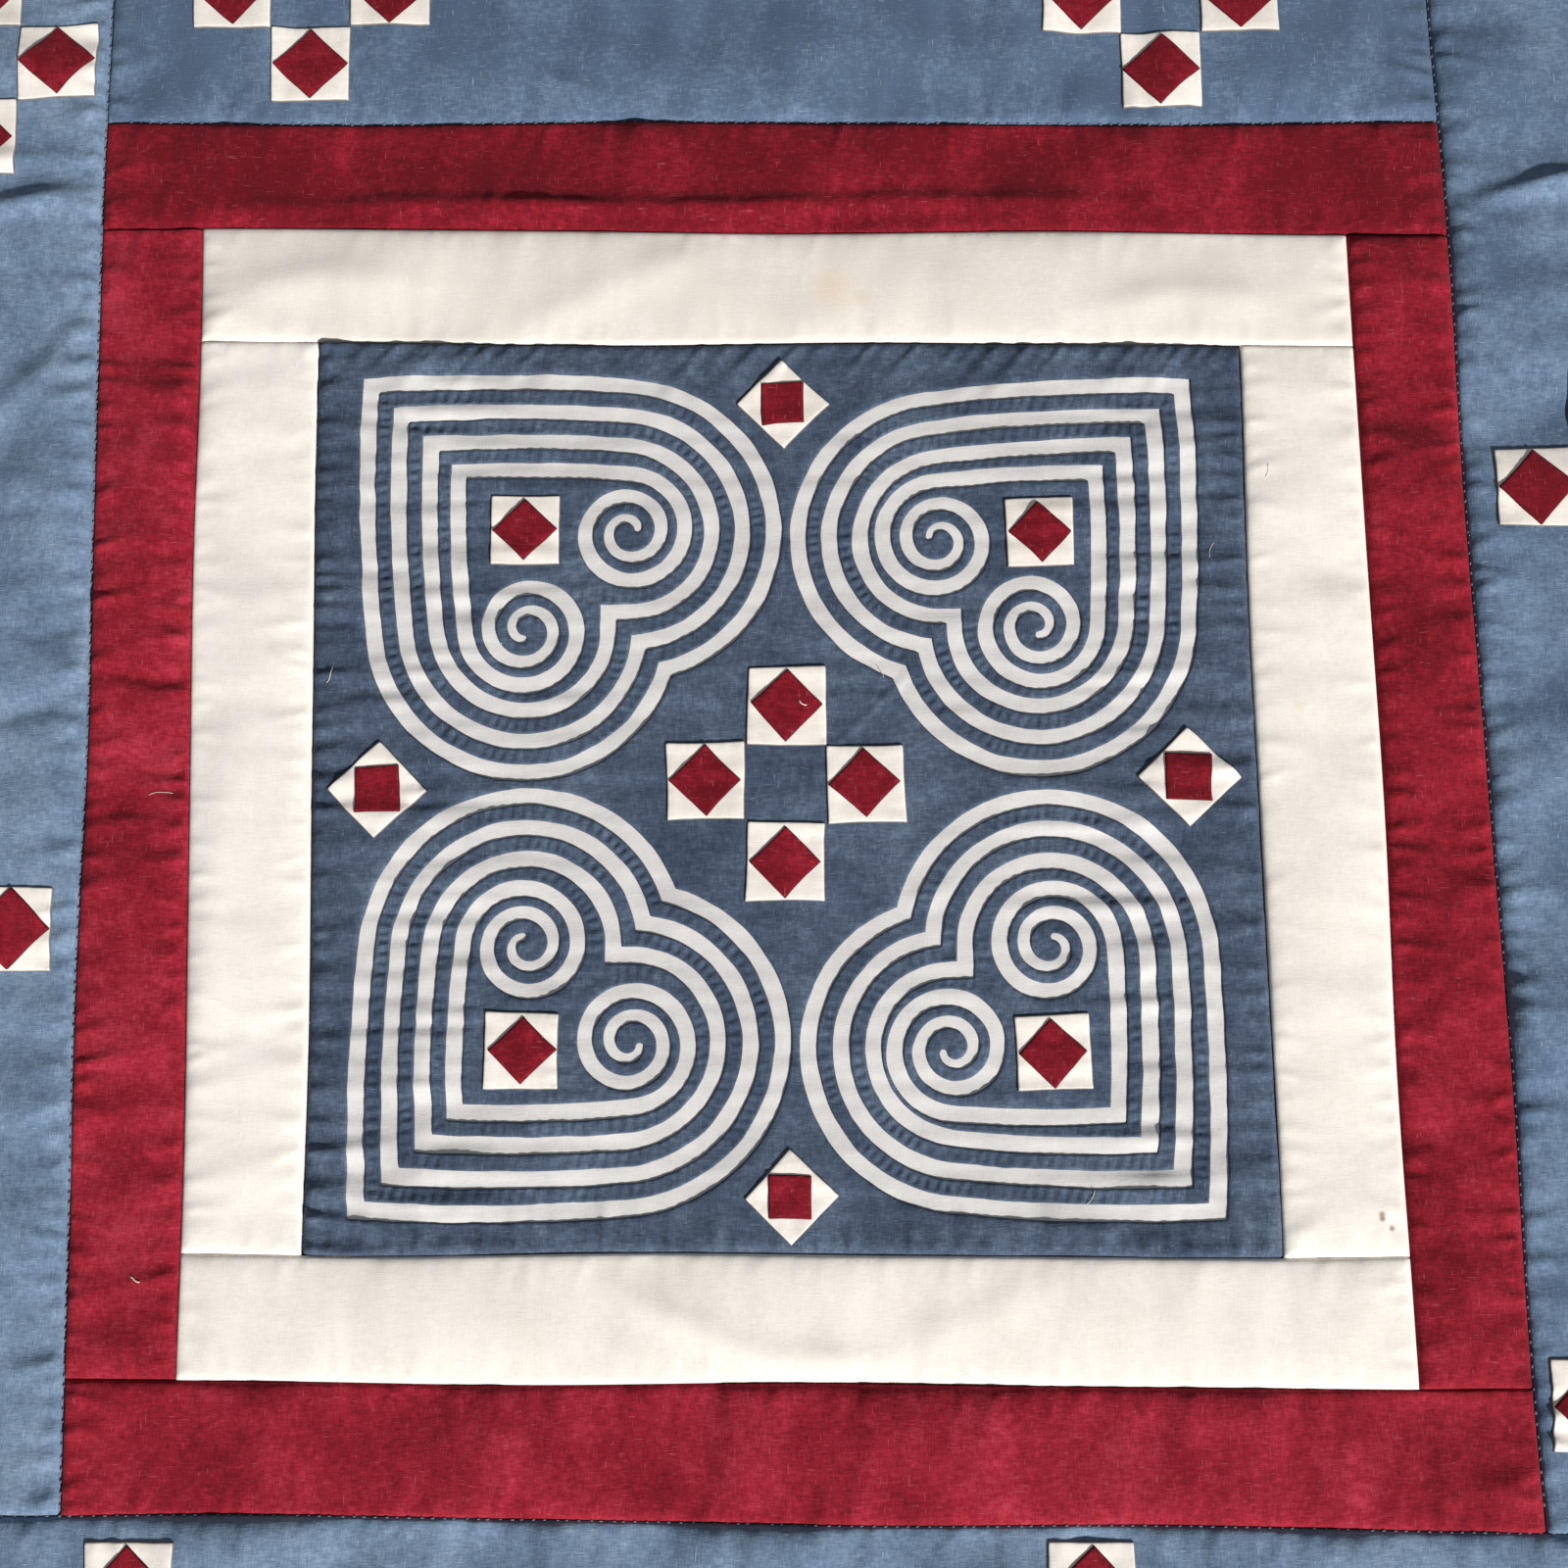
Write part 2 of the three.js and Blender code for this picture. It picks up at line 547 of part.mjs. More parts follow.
// A level plate of cloth.
function addPatch(name, outline, cuts, base, thickness, cotton) {
  addPiece(name, sheetBody(outline, cuts, () => base, () => base + thickness), cotton);
}

// A cream square on the panel with a smaller red square on it.
function addSquarePair(name, at, edge, turn, redEdge, redTurn) {
  const base = blueTop(...at) + LAYER_GAP;
  const redBase = base + CREAM_CLOTH + LAYER_GAP;
  addPatch(`cream_square_${name}`, squareLoop(at, edge, turn), [], base, CREAM_CLOTH, CREAM_COTTON);
  addPatch(`red_square_${name}`, squareLoop(at, redEdge, redTurn), [], redBase, RED_CLOTH, RED_COTTON);
}

function addPanelSquares() {
  for (const { name, square } of HEARTS) {
    const { at, edge, turn } = square;
    addSquarePair(`heart_${name}`, at, edge, turn, edge * RED_ON_POINT, turn + 45);
  }
  for (const { name, at, edge, turn, redTurn } of SIDE_SQUARES) {
    addSquarePair(`side_${name}`, at, edge, turn, edge * RED_LEVEL, redTurn);
  }
  for (const { name, at, turn, redTurn } of CENTRE_SQUARES) {
    addSquarePair(`centre_${name}`, at, CENTRE_SQUARE, turn, CENTRE_SQUARE * RED_ON_POINT, redTurn);
  }
}

// The crosses lie level on the crown of the blue border.
function addBorderCrosses() {
  const base = FIELD_HEIGHT + 2 * FOLD.everywhere + LAYER_GAP;
  for (const { name, at, turn } of BORDER_CROSSES) {
    const { outline, middle } = crossLoops(at, BORDER_SQUARE, turn);
    addPatch(`cream_cross_${name}`, outline, [middle], base, CREAM_CLOTH, CREAM_COTTON);
  }
}

addPanel();
addStrips();
addPanelSquares();
addBorderCrosses();

export default quilt;
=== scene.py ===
"""A pieced and appliqued quilt block, lying flat and face up.

The middle panel is blue cloth slit in heart-shaped rings and spirals over white cloth. Cream, red
and blue strips are sewn round it, and small cream and red squares are sewn on top. Each piece of
cloth is a closed thin sheet that follows its folds, puckers and seams.

Sizes and places are in millimetres, and a finished mesh is made in metres. X runs to the right,
Y away from the viewer and Z up from the table.
"""

import math

import bpy
import numpy as np
from mathutils import Matrix, Vector
from mathutils.geometry import delaunay_2d_cdt
from mathutils.kdtree import KDTree


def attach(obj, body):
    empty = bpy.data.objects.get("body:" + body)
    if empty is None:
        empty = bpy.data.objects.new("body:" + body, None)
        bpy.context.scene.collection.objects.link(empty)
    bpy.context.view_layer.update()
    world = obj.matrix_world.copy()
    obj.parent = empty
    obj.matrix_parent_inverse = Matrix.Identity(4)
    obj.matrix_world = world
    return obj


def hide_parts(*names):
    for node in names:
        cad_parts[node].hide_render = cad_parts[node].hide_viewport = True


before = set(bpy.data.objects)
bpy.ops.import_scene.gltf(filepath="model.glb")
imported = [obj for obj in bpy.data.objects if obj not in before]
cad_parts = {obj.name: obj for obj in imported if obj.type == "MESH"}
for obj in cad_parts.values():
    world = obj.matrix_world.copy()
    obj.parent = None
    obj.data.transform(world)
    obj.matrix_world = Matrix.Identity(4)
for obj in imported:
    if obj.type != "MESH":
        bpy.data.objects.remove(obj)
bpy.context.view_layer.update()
bpy.ops.object.select_all(action="DESELECT")

MM = 0.001

# Widths of the pieces, seam to seam.
PANEL_WIDTH = 254.0
STRIP_WIDTH = 31.75
BORDER_WIDTH = 76.2
OUTER_RING = 4
SKEW = -0.7

# Every seam: its ring out from the panel, its side, how far its middle is off the even spacing,
# its slant in degrees and the phase of its waver.
SEAMS = {
    "panelTop": (1, 1, -1.9, -0.55, 0.3),
    "panelBottom": (1, -1, 1.6, -0.56, 1.9),
    "panelLeft": (1, -1, -2.1, -0.75, 2.8),
    "panelRight": (1, 1, 1.4, -0.21, 4.1),
    "creamTop": (2, 1, -0.2, -0.69, 5.2),
    "creamBottom": (2, -1, 0.7, -0.7, 0.9),
    "creamLeft": (2, -1, -3.4, -1.14, 3.6),
    "creamRight": (2, 1, 2.8, -0.36, 1.2),
    "redTop": (3, 1, 1.1, -0.44, 2.2),
    "redBottom": (3, -1, -1.9, -1.04, 4.7),
    "redLeft": (3, -1, -0.4, -0.83, 0.6),
    "redRight": (3, 1, 0.2, -0.77, 3.1),
    "outerTop": (OUTER_RING, 1, 0.0, SKEW, 1.4),
    "outerBottom": (OUTER_RING, -1, 0.0, SKEW, 1.4),
    "outerLeft": (OUTER_RING, -1, 0.0, SKEW, 2.5),
    "outerRight": (OUTER_RING, 1, 0.0, SKEW, 2.5),
}

PANEL = ("panelTop", "panelBottom", "panelLeft", "panelRight")

# Every strip: the seams at its top, bottom, left and right, its cut between them as width and length
# in metres, and a tone that makes it a little darker or paler: darker at the top and right, paler at the
# left.
STRIPS = {
    "cream_strip_top": (("creamTop", "panelTop", "creamLeft", "creamRight"), (0.032, 0.318), -0.08),
    "cream_strip_bottom": (("panelBottom", "creamBottom", "creamLeft", "creamRight"), (0.032, 0.318), 0.0),
    "cream_strip_left": (("panelTop", "panelBottom", "creamLeft", "panelLeft"), (0.032, 0.254), 0.05),
    "cream_strip_right": (("panelTop", "panelBottom", "panelRight", "creamRight"), (0.032, 0.254), 0.0),
    "red_strip_top": (("redTop", "creamTop", "redLeft", "redRight"), (0.032, 0.381), -0.07),
    "red_strip_bottom": (("creamBottom", "redBottom", "redLeft", "redRight"), (0.032, 0.381), 0.0),
    "red_strip_left": (("creamTop", "creamBottom", "redLeft", "creamLeft"), (0.032, 0.318), 0.02),
    "red_strip_right": (("creamTop", "creamBottom", "creamRight", "redRight"), (0.032, 0.318), -0.02),
    "blue_strip_top": (("outerTop", "redTop", "redLeft", "redRight"), (0.076, 0.381), -0.09),
    "blue_strip_bottom": (("redBottom", "outerBottom", "outerLeft", "outerRight"), (0.076, 0.534), 0.0),
    "blue_strip_left": (("outerTop", "redBottom", "outerLeft", "redLeft"), (0.076, 0.457), 0.01),
    "blue_strip_right": (("outerTop", "redBottom", "redRight", "outerRight"), (0.076, 0.457), -0.05),
}

# The red squares' cloth is a little darker.
SQUARE_TONE = -0.07

# The four hearts: the corner, the lobe beside the level side and the lobe beside the upright side,
# each with its radius, and the square in the heart with its edge and its turn in degrees.
HEARTS = {
    "upper_left": ((-117.7, 115.3), (-43.0, 70.2, 42.2), (-71.0, 42.6, 41.8), (-71.8, 71.1, 19.7, 0.0)),
    "upper_right": ((113.8, 113.6), (42.5, 67.4, 41.0), (68.8, 42.8, 41.8), (70.4, 69.3, 19.2, 1.5)),
    "lower_left": (
        (-115.8, -115.2), (-42.0, -70.0, 42.8), (-70.0, -44.0, 42.7), (-70.8, -71.8, 20.2, -1.0),
    ),
    "lower_right": ((114.4, -117.1), (43.6, -72.2, 40.4), (70.5, -45.0, 42.4), (70.3, -73.4, 20.2, 1.8)),
}

# Squares at the middle of the panel's sides: place, edge, turn and the red square's turn.
SIDE_SQUARES = {
    "top": (-0.2, 107.0, 18.6, 46.0, 2.5),
    "left": (-110.9, -1.5, 19.5, 44.0, 2.0),
    "right": (109.0, 0.5, 20.2, 44.0, -1.0),
    "bottom": (0.3, -110.4, 17.8, 46.0, 0.5),
}
CENTRE_SQUARES = {
    "top": (0.2, 21.0, 21.6, -0.5, 43.0),
    "left": (-22.0, 0.3, 21.6, 0.5, 45.0),
    "right": (21.4, -0.7, 21.6, 0.8, 47.0),
    "bottom": (-0.4, -21.9, 21.6, -0.6, 44.0),
}

# The crosses on the blue border: place, turn and the strips that each lies on.
BORDER_SQUARE = 22.8
BORDER_CROSSES = {
    "top_left": (-135.5, 232.6, 0.5, ("blue_strip_top",)),
    "top_right": (109.5, 229.2, -0.8, ("blue_strip_top",)),
    "left_upper": (-230.9, 210.8, 1.2, ("blue_strip_left",)),
    "left_lower": (-231.2, -38.4, -0.4, ("blue_strip_left",)),
    "right_upper": (231.4, 81.4, 0.6, ("blue_strip_right",)),
    "right_lower": (229.9, -165.0, -1.1, ("blue_strip_right", "blue_strip_bottom")),
    "bottom_left": (-168.5, -229.4, 0.7, ("blue_strip_bottom",)),
    "bottom_right": (76.2, -231.6, -0.5, ("blue_strip_bottom",)),
}
BORDER_RED_SHARE = 0.68
PANEL_RED_SHARE = 0.645
LEVEL_RED_SHARE = 0.64

# The slit hearts: the bands, the depths of the cut edges inside a heart's outer edge, and the
# spiral's sizes. The panel's cloths are cut at one size, and the field's area is what the slits leave.
BAND_WIDTH = 4.4
BAND_PITCH = 8.6
SLITS = tuple(ring * BAND_PITCH + edge for ring in range(3) for edge in (0, BAND_WIDTH))
SPIRAL_BAND_DEPTH = 27.3
SPIRAL_START_RADIUS = 17.0
SPIRAL_END_RADIUS = 2.6
SPIRAL_TURN = 790.0
SPIRAL_END_WIDTH = 2.0
SIDE_BOW = 0.018
LOBE_STRETCH = 2.4

# Heights above the table or of one cloth above another, and how the cloth is drawn in at a seam and
# at a free edge.
FIELD_HEIGHT = 4.3
SEAM_PULL = 6.0
BROAD_DIP = 1.15
PANEL_BROAD_DIP = 0.3
PANEL_SEAM_PULL = 3.0
PANEL_GROOVE_DIP = 1.3
GROOVE_REACH = 0.42
GROOVE_POWER = 1.3
FREE_BROAD_DIP = 1.9
FREE_EDGE_DIP = 1.9
INNER_REACH = 2.5
GROUND_HEIGHT = 2.0
PANEL_CROWN = 1.0
CROWN_OVERHANG = 6.0
WHITE_RISE = 0.3
BLUE_RISE = 1.05
CREAM_RISE = 0.65
RED_RISE = 0.55
SQUARE_SINK = 0.12
SQUARE_LIFT = 0.1
BRIDGE_HEIGHT = 2.6
EDGE_ROUND = 0.75
UNDER_GAP = 0.02
SEAM_MARGIN = 0.02
FLAT_DIP = 0.14
FLAT_START = 2.2
FLAT_REACH = 2.0
STRIP_EDGE_HEIGHT = 1.4
STRIP_UNDER_REACH = 0.8
SQUARE_ROUND = 0.5

# Spacing of mesh points: along an outline, over each kind of top, and over the undersides.
OUTLINE_STEP = 0.95
GROUND_EDGE_STEP = 1.6
EDGE_STEP = 0.75
BLUE_STRIP_STEP = 1.4
STRIP_STEP = 1.05
GROUND_STEP = 1.3
RING_STEP = 0.64
FIELD_STEP = 0.9
SQUARE_STEP = 1.25
STRIP_BACK_STEP = 14.0
PANEL_BACK_STEP = 2.4
SQUARE_BACK_STEP = 3.5
EDGE_ROWS = (0.14, 0.38, 0.8)
SEAM_ROOM = 0.03
GROUND_ROOM = 0.25
# How far in from an edge the painted rim shade fades.
SHADE_RIM_WIDTH = 0.5

# Hand stitches: their pitch along an edge or a seam, and how deep they draw the cloth in.
EDGE_STITCH = 3.1
RING_DENT = 0.62
CORE_DENT_SHARE = 0.72
CUT_EDGE_DENT = 0.26
CORE_EDGE_DENT = 0.22
CORE_DENT_REACH = 3.0
SQUARE_EDGE_DENT = 0.22
SEAM_STITCH = 2.9
STITCH_SIZE = (0.62, 0.3, 0.26)

# The height of the stitches on each ring of seams, and the seams at the top, bottom, left and right
# of the field that each stitched seam bounds.
STITCH_HEIGHTS = {1: 1.75, 2: 2.1, 3: 2.75}
CREAM_FRAME = ("creamTop", "creamBottom", "creamLeft", "creamRight")
STITCHED_SEAMS = {
    **dict.fromkeys(PANEL, PANEL),
    "creamTop": STRIPS["cream_strip_top"][0],
    "creamBottom": STRIPS["cream_strip_bottom"][0],
    "creamLeft": CREAM_FRAME,
    "creamRight": CREAM_FRAME,
    "redTop": STRIPS["red_strip_top"][0],
    "redBottom": STRIPS["blue_strip_bottom"][0],
    "redLeft": STRIPS["blue_strip_left"][0],
    "redRight": STRIPS["blue_strip_right"][0],
}

# Each strip cloth's slot, its depth of groove at a seam, and its strength of painted rim shade, of
# puckers and of swell.
STRIP_SLOTS = {"cream": "cream_cotton", "red": "red_cotton", "blue": "light_blue_cotton"}
CLOTH_GROOVE = {"cream": 0.7, "red": 1.3, "blue": 1.3}
CLOTH_RIM_SHADE = {"cream": 0.68, "red": 0.78, "blue": 0.78}
CLOTH_PUCKER = {"cream": 0.42, "red": 1.25, "blue": 1.5}
CLOTH_SWELL = {"cream": 0.65, "red": 1.9, "blue": 1.8}

# The strength of the painted rim shade at the blue cloth's cut edges and round a square, where it
# makes a dark outline, and how far inside the panel's seams this painted shade keeps its full strength.
CUT_EDGE_SHADE = 0.7
SEAM_SHADE_WIDTH = 1.5
SQUARE_RIM_SHADE = 1.25

# Puckers: how far along a seam they go, their widths, their spacing, reach, lean and height on the
# strips, and on the panel with a height and a reach at its top, bottom, left and right.
HALF_SPAN = 290.0
PUCKER_WIDTHS = (0.9, 2.1)
STRIP_PUCKER_SPACING = (4.5, 10.5)
STRIP_PUCKER_REACH = 8.0
STRIP_PUCKER_LEAN = 0.3
LEVEL_PUCKER = 0.8
UPRIGHT_PUCKER = 1.5
FINE_PUCKER = 0.14
FINE_PITCH = 3.1
PANEL_PUCKER_SPACING = (3.5, 8.5)
PANEL_PUCKER_LEAN = 0.12
TOP_PUCKER_SLANT = 0.8
PANEL_PUCKERS = ((1.5, 8.0), (2.3, 8.0), (2.5, 14.0), (1.45, 16.0))

# Folds, given one by one: the strip, the line of the crest, its width and its height, which is less
# than 0 for a trough. Those of the panel have no strip.
FOLD_FULLNESS = 2.5
FOLDS = (
    ("blue_strip_left", ((-250, 161), (-223, 166), (-209, 169), (-196, 171)), 3.8, 1.5),
    ("blue_strip_left", ((-250, 178), (-224, 181), (-196, 183)), 3.2, 0.55),
    ("blue_strip_left", ((-191, 140), (-201, 126), (-212, 113), (-232, 96)), 4.0, 0.75),
    ("blue_strip_left", ((-196, 60), (-215, 52), (-240, 50)), 6.0, 0.5),
    ("blue_strip_left", ((-194, -8), (-214, -14), (-236, -11)), 7.0, 0.55),
    ("blue_strip_left", ((-192, -92), (-214, -84), (-240, -88)), 6.0, 0.45),
    ("red_strip_top", ((-162, 165), (-120, 167), (-77, 166), (-10, 165), (40, 167), (104, 166)), 2.8, 1.0),
    ("red_strip_left", ((-188, -9), (-166, -10)), 1.7, 0.4),
    ("red_strip_left", ((-186, 96), (-164, 90)), 5.0, 0.35),
    ("red_strip_left", ((-184, -74), (-164, -70)), 5.0, 0.4),
    ("blue_strip_top", ((-68, 206), (-54, 200), (-40, 193)), 2.6, 0.4),
    ("blue_strip_top", ((-20, 222), (40, 210), (90, 214)), 9.0, 0.4),
    ("blue_strip_right", ((194, 165), (207, 168), (222, 172), (250, 178)), 3.2, 1.5),
    ("blue_strip_right", ((194, 40), (214, 34), (240, 38)), 7.0, 0.45),
    ("blue_strip_right", ((201, -61), (217, -66), (238, -62)), 6.0, 0.3),
    ("red_strip_bottom", ((89, -160), (88, -194)), 4.5, 0.35),
    ("red_strip_bottom", ((114, -160), (111, -194)), 5.0, 0.35),
    ("red_strip_bottom", ((145, -160), (143, -178), (146, -196)), 2.6, 0.4),
    ("red_strip_right", ((163, 96), (188, 92)), 6.0, 0.35),
    ("red_strip_right", ((166, -22), (190, -28)), 6.0, 0.3),
    ("red_strip_right", ((166, -104), (190, -110)), 5.0, 0.4),
    ("cream_strip_top", ((-156, 141), (-128, 146), (-104, 143)), 6.0, 0.35),
    ("cream_strip_top", ((-70, 131), (-44, 144), (-22, 153)), 6.0, 0.35),
    ("cream_strip_top", ((84, 134), (112, 139), (140, 136)), 5.0, 0.3),
    ("cream_strip_bottom", ((-46, -133), (-28, -142), (-8, -151), (26, -153)), 4.5, 0.38),
    ("cream_strip_bottom", ((26, -151), (50, -141), (68, -132)), 5.5, 0.28),
    ("cream_strip_left", ((-160, 86), (-148, 66), (-138, 47)), 6.0, 0.45),
    ("cream_strip_left", ((-150, 18), (-155, -30), (-157, -80)), 7.0, 0.35),
    ("cream_strip_right", ((134, 66), (146, 52), (160, 44)), 6.0, 0.35),
    ("red_strip_left", ((-188, 33), (-172, 29), (-158, 31)), 2.0, -0.55),
    ("red_strip_left", ((-177, 66), (-166, 64), (-156, 64)), 2.4, -0.4),
    ("blue_strip_left", ((-193, 77), (-210, 79), (-236, 73)), 3.0, -0.45),
    ("blue_strip_left", ((-192, 44), (-206, 42), (-217, 46)), 2.2, -0.4),
    ("blue_strip_left", ((-193, 24), (-208, 21), (-227, 16)), 3.0, -0.5),
    ("red_strip_right", ((190, -50), (182, -53), (168, -60)), 2.6, -0.35),
    ("red_strip_right", ((163, -72), (177, -74)), 2.4, -0.3),
)

PANEL_FOLDS = (
    (((4, 8), (15, 11), (24, 20), (36, 32)), 1.1, 0.5),
    (((10, 34), (22, 24), (34, 19)), 1.6, 0.35),
    (((-9, 12), (2, 4), (12, -8)), 1.3, 0.3),
    (((-8, 44), (8, 40), (26, 46)), 3.0, 0.5),
    (((-40, -30), (-28, -38), (-14, -42)), 3.2, 0.4),
    (((28, -36), (44, -28), (52, -22)), 2.8, 0.4),
    (((-118, 122), (-108, 112), (-104, 100)), 1.8, 0.7),
    (((-92, 93), (-78, 95), (-58, 91)), 2.2, 0.4),
    (((-100, 60), (-92, 58), (-84, 61)), 1.8, 0.4),
    (((60, 92), (78, 88), (96, 91)), 2.2, 0.4),
    (((98, -50), (90, -55), (84, -52)), 2.0, 0.4),
)

# Stray threads: what they lie on, place, length, direction in degrees, bend and radius.
LINT = (
    ("panel", -124.8, 30.6, 5.0, 75, 2.5, 0.1),
    ("square", 4.6, 21.4, 2.6, -32, 1.6, 0.2),
    ("red_strip_left", -170.7, -130.1, 3.0, -35, 1.2, 0.2),
    ("red_strip_left", -170.0, -2.0, 6.5, 4, -2.0, 0.08),
    ("cream_strip_right", 134.1, 86.6, 4.0, 82, 1.6, 0.09),
    ("panel", 118.0, 64.0, 4.6, 70, -2.2, 0.08),
    ("panel", 79.0, -111.0, 4.2, 60, 2.0, 0.08),
    ("panel", 26.0, 30.0, 3.2, 120, 1.2, 0.07),
)
LINT_POINTS = 7

# The cottons: the width of a yarn, where the mixed noises turn from shade to shade and to a slub,
# where the painted rim shade sets in, and the height of the marks on them.
YARN = 0.4
DEEP_TO_MIDDLE = (0.38, 0.53)
MIDDLE_TO_PALE = (0.49, 0.63)
SLUB_RANGE = (0.66, 0.78)
SHADE_RIM_RANGE = (0.55, 0.92)
MARK_HEIGHT = 4.0

# The floor and lights in metres, and the camera in millimetres with its axes to the right, up and
# backward.
FLOOR_LEVEL = -0.0004
SKY_COLOUR = (0.93, 0.96, 1.0, 1.0)
SKY_STRENGTH = 0.21
LAMP_SIZE = 0.34
LAMP_POWER = 600
LAMP_COLOUR = (1.0, 0.975, 0.94)
LAMP_PLACE = (2.7, -4.4, 3.3)
LAMP_TARGET = (0.05, -0.05, 0.0)
CAMERA_PLACE = (-0.526, -84.141, 528.6)
CAMERA_AXES = (
    (0.999975, -0.006903, -0.001363),
    (0.007032, 0.987563, 0.157068),
    (0.000262, -0.157074, 0.987587),
)

# A field's corners, and the half width over which uneven waves are laid out.
CORNERS = ((0.0, 0.0), (1.0, 0.0), (1.0, 1.0), (0.0, 1.0))
DOMAIN = 320.0


# Even and uneven waves

def wave(place, length, phase=0.0):
    return np.sin(2 * math.pi * place / length + phase)


def ease(part):
    part = np.clip(part, 0.0, 1.0)
    return part * part * (3 - 2 * part)


def wander(place, pitch, seed):
    """Smooth uneven swing from -1 to 1 along a line."""
    lattice = np.random.default_rng(seed).uniform(-1, 1, int(6 * DOMAIN / pitch) + 4)
    cell = (place + 3 * DOMAIN) / pitch
    first = np.clip(np.floor(cell).astype(int), 0, len(lattice) - 2)
    part = ease(cell - first)
    return lattice[first] * (1 - part) + lattice[first + 1] * part


def hills(x, y, pitch_x, pitch_y, seed):
    """Smooth uneven swing from -1 to 1 over the cloth."""
    rows = int(2 * DOMAIN / pitch_x) + 4
    columns = int(2 * DOMAIN / pitch_y) + 4
    lattice = np.random.default_rng(seed).uniform(-1, 1, (rows, columns))
    cell_x = (x + DOMAIN) / pitch_x
    cell_y = (y + DOMAIN) / pitch_y
    i = np.clip(np.floor(cell_x).astype(int), 0, rows - 2)
    j = np.clip(np.floor(cell_y).astype(int), 0, columns - 2)
    part_x = ease(cell_x - i)
    part_y = ease(cell_y - j)
    near = lattice[i, j] * (1 - part_x) + lattice[i + 1, j] * part_x
    far = lattice[i, j + 1] * (1 - part_x) + lattice[i + 1, j + 1] * part_x
    return near * (1 - part_y) + far * part_y


# Seams and fields

def seam_at(name, place):
    """Where a seam lies across its own direction, at places along it."""
    ring, side, shift, lean, phase = SEAMS[name]
    is_outer = ring == OUTER_RING
    distance = PANEL_WIDTH / 2 + STRIP_WIDTH * (min(ring, OUTER_RING - 1) - 1)
    if is_outer:
        distance += BORDER_WIDTH
    walk = side * place if is_outer else place
    waver = 0.42 * wave(walk, 214, phase) + 0.16 * wave(walk, 119, 2 * phase)
    slant = math.tan(math.radians(lean)) * place
    return side * distance + shift + slant + (side * waver if is_outer else waver)


def field_points(sides, across, up, room):
    """Points of a field at shares of its width and height, a little room inside its seams."""
    top, bottom, left, right = sides
    x = np.zeros_like(across)
    y = np.zeros_like(across)
    for _ in range(6):
        low = seam_at(left, y) + room
        x = low + (seam_at(right, y) - room - low) * across
        low = seam_at(bottom, x) + room
        y = low + (seam_at(top, x) - room - low) * up
    return np.stack([x, y], axis=1)


def field_outline(sides, step, room=SEAM_ROOM):
    """The outline of a field, anticlockwise from its lower left corner."""
    rough = field_points(sides, *np.array(CORNERS).T, room)
    parts = []
    for i, start in enumerate(CORNERS):
        end = CORNERS[(i + 1) % 4]
        count = max(4, round(float(np.linalg.norm(rough[(i + 1) % 4] - rough[i])) / step))
        share = np.arange(count) / count
        across = start[0] + (end[0] - start[0]) * share
        up = start[1] + (end[1] - start[1]) * share
        parts.append(field_points(sides, across, up, room))
    return np.vstack(parts)


def field_depths(sides, x, y):
    """How far points lie inside each side of a field."""
    top, bottom, left, right = sides
    return (seam_at(top, x) - y, y - seam_at(bottom, x), x - seam_at(left, y), seam_at(right, y) - x)


# Heights of the cloth

def groove_shape(depth):
    """The narrow groove at a seam: 1 on it and 0 a little way inside."""
    return np.exp(-((depth / GROOVE_REACH) ** GROOVE_POWER))


def fold_height(line, width, x, y, seed):
    """A soft uneven ridge along a line, dying out at its ends."""
    points = np.array(line, float)
    nearest = np.full(x.shape, 1e9)
    walked = np.zeros(x.shape)
    length = 0.0
    for start, end in zip(points[:-1], points[1:]):
        step = end - start
        size = float(np.linalg.norm(step))
        part = np.clip(((x - start[0]) * step[0] + (y - start[1]) * step[1]) / size**2, 0, 1)
        away = np.hypot(x - start[0] - step[0] * part, y - start[1] - step[1] * part)
        walked = np.where(away < nearest, length + part * size, walked)
        nearest = np.minimum(nearest, away)
        length += size
    taper = ease(walked / (0.25 * length)) * ease((length - walked) / (0.25 * length))
    lumps = 0.8 + 0.3 * wander(walked, 3.5 * width, seed)
    return (0.35 + 0.65 * taper) * lumps * np.exp(-((nearest / width) ** 2))


def seam_puckers(along, depth, seed, spacing, height, reach, lean):
    """Narrow ridges that run off a seam at uneven places, each with its own size and slant."""
    draw = np.random.default_rng(seed)
    relief = np.zeros(along.shape)
    place = -HALF_SPAN
    while place < HALF_SPAN:
        width = draw.uniform(*PUCKER_WIDTHS)
        rise = height * draw.uniform(0.25, 1.0)
        length = reach * draw.uniform(0.5, 1.5)
        slant = lean * draw.uniform(-1, 1)
        place += draw.uniform(*spacing)
        near = np.flatnonzero((np.abs(along - place) < 14) & (depth < 3 * length))
        if len(near) == 0:
            continue
        away = depth[near]
        spread = width * (1 + away / 12)
        offset = (along[near] - place - slant * away) / spread
        fade = np.exp(-((away / length) ** 1.6)) * (1 - np.exp(-((away / 1.8) ** 1.4)))
        relief[near] += rise * fade * np.exp(-offset * offset)
    return relief


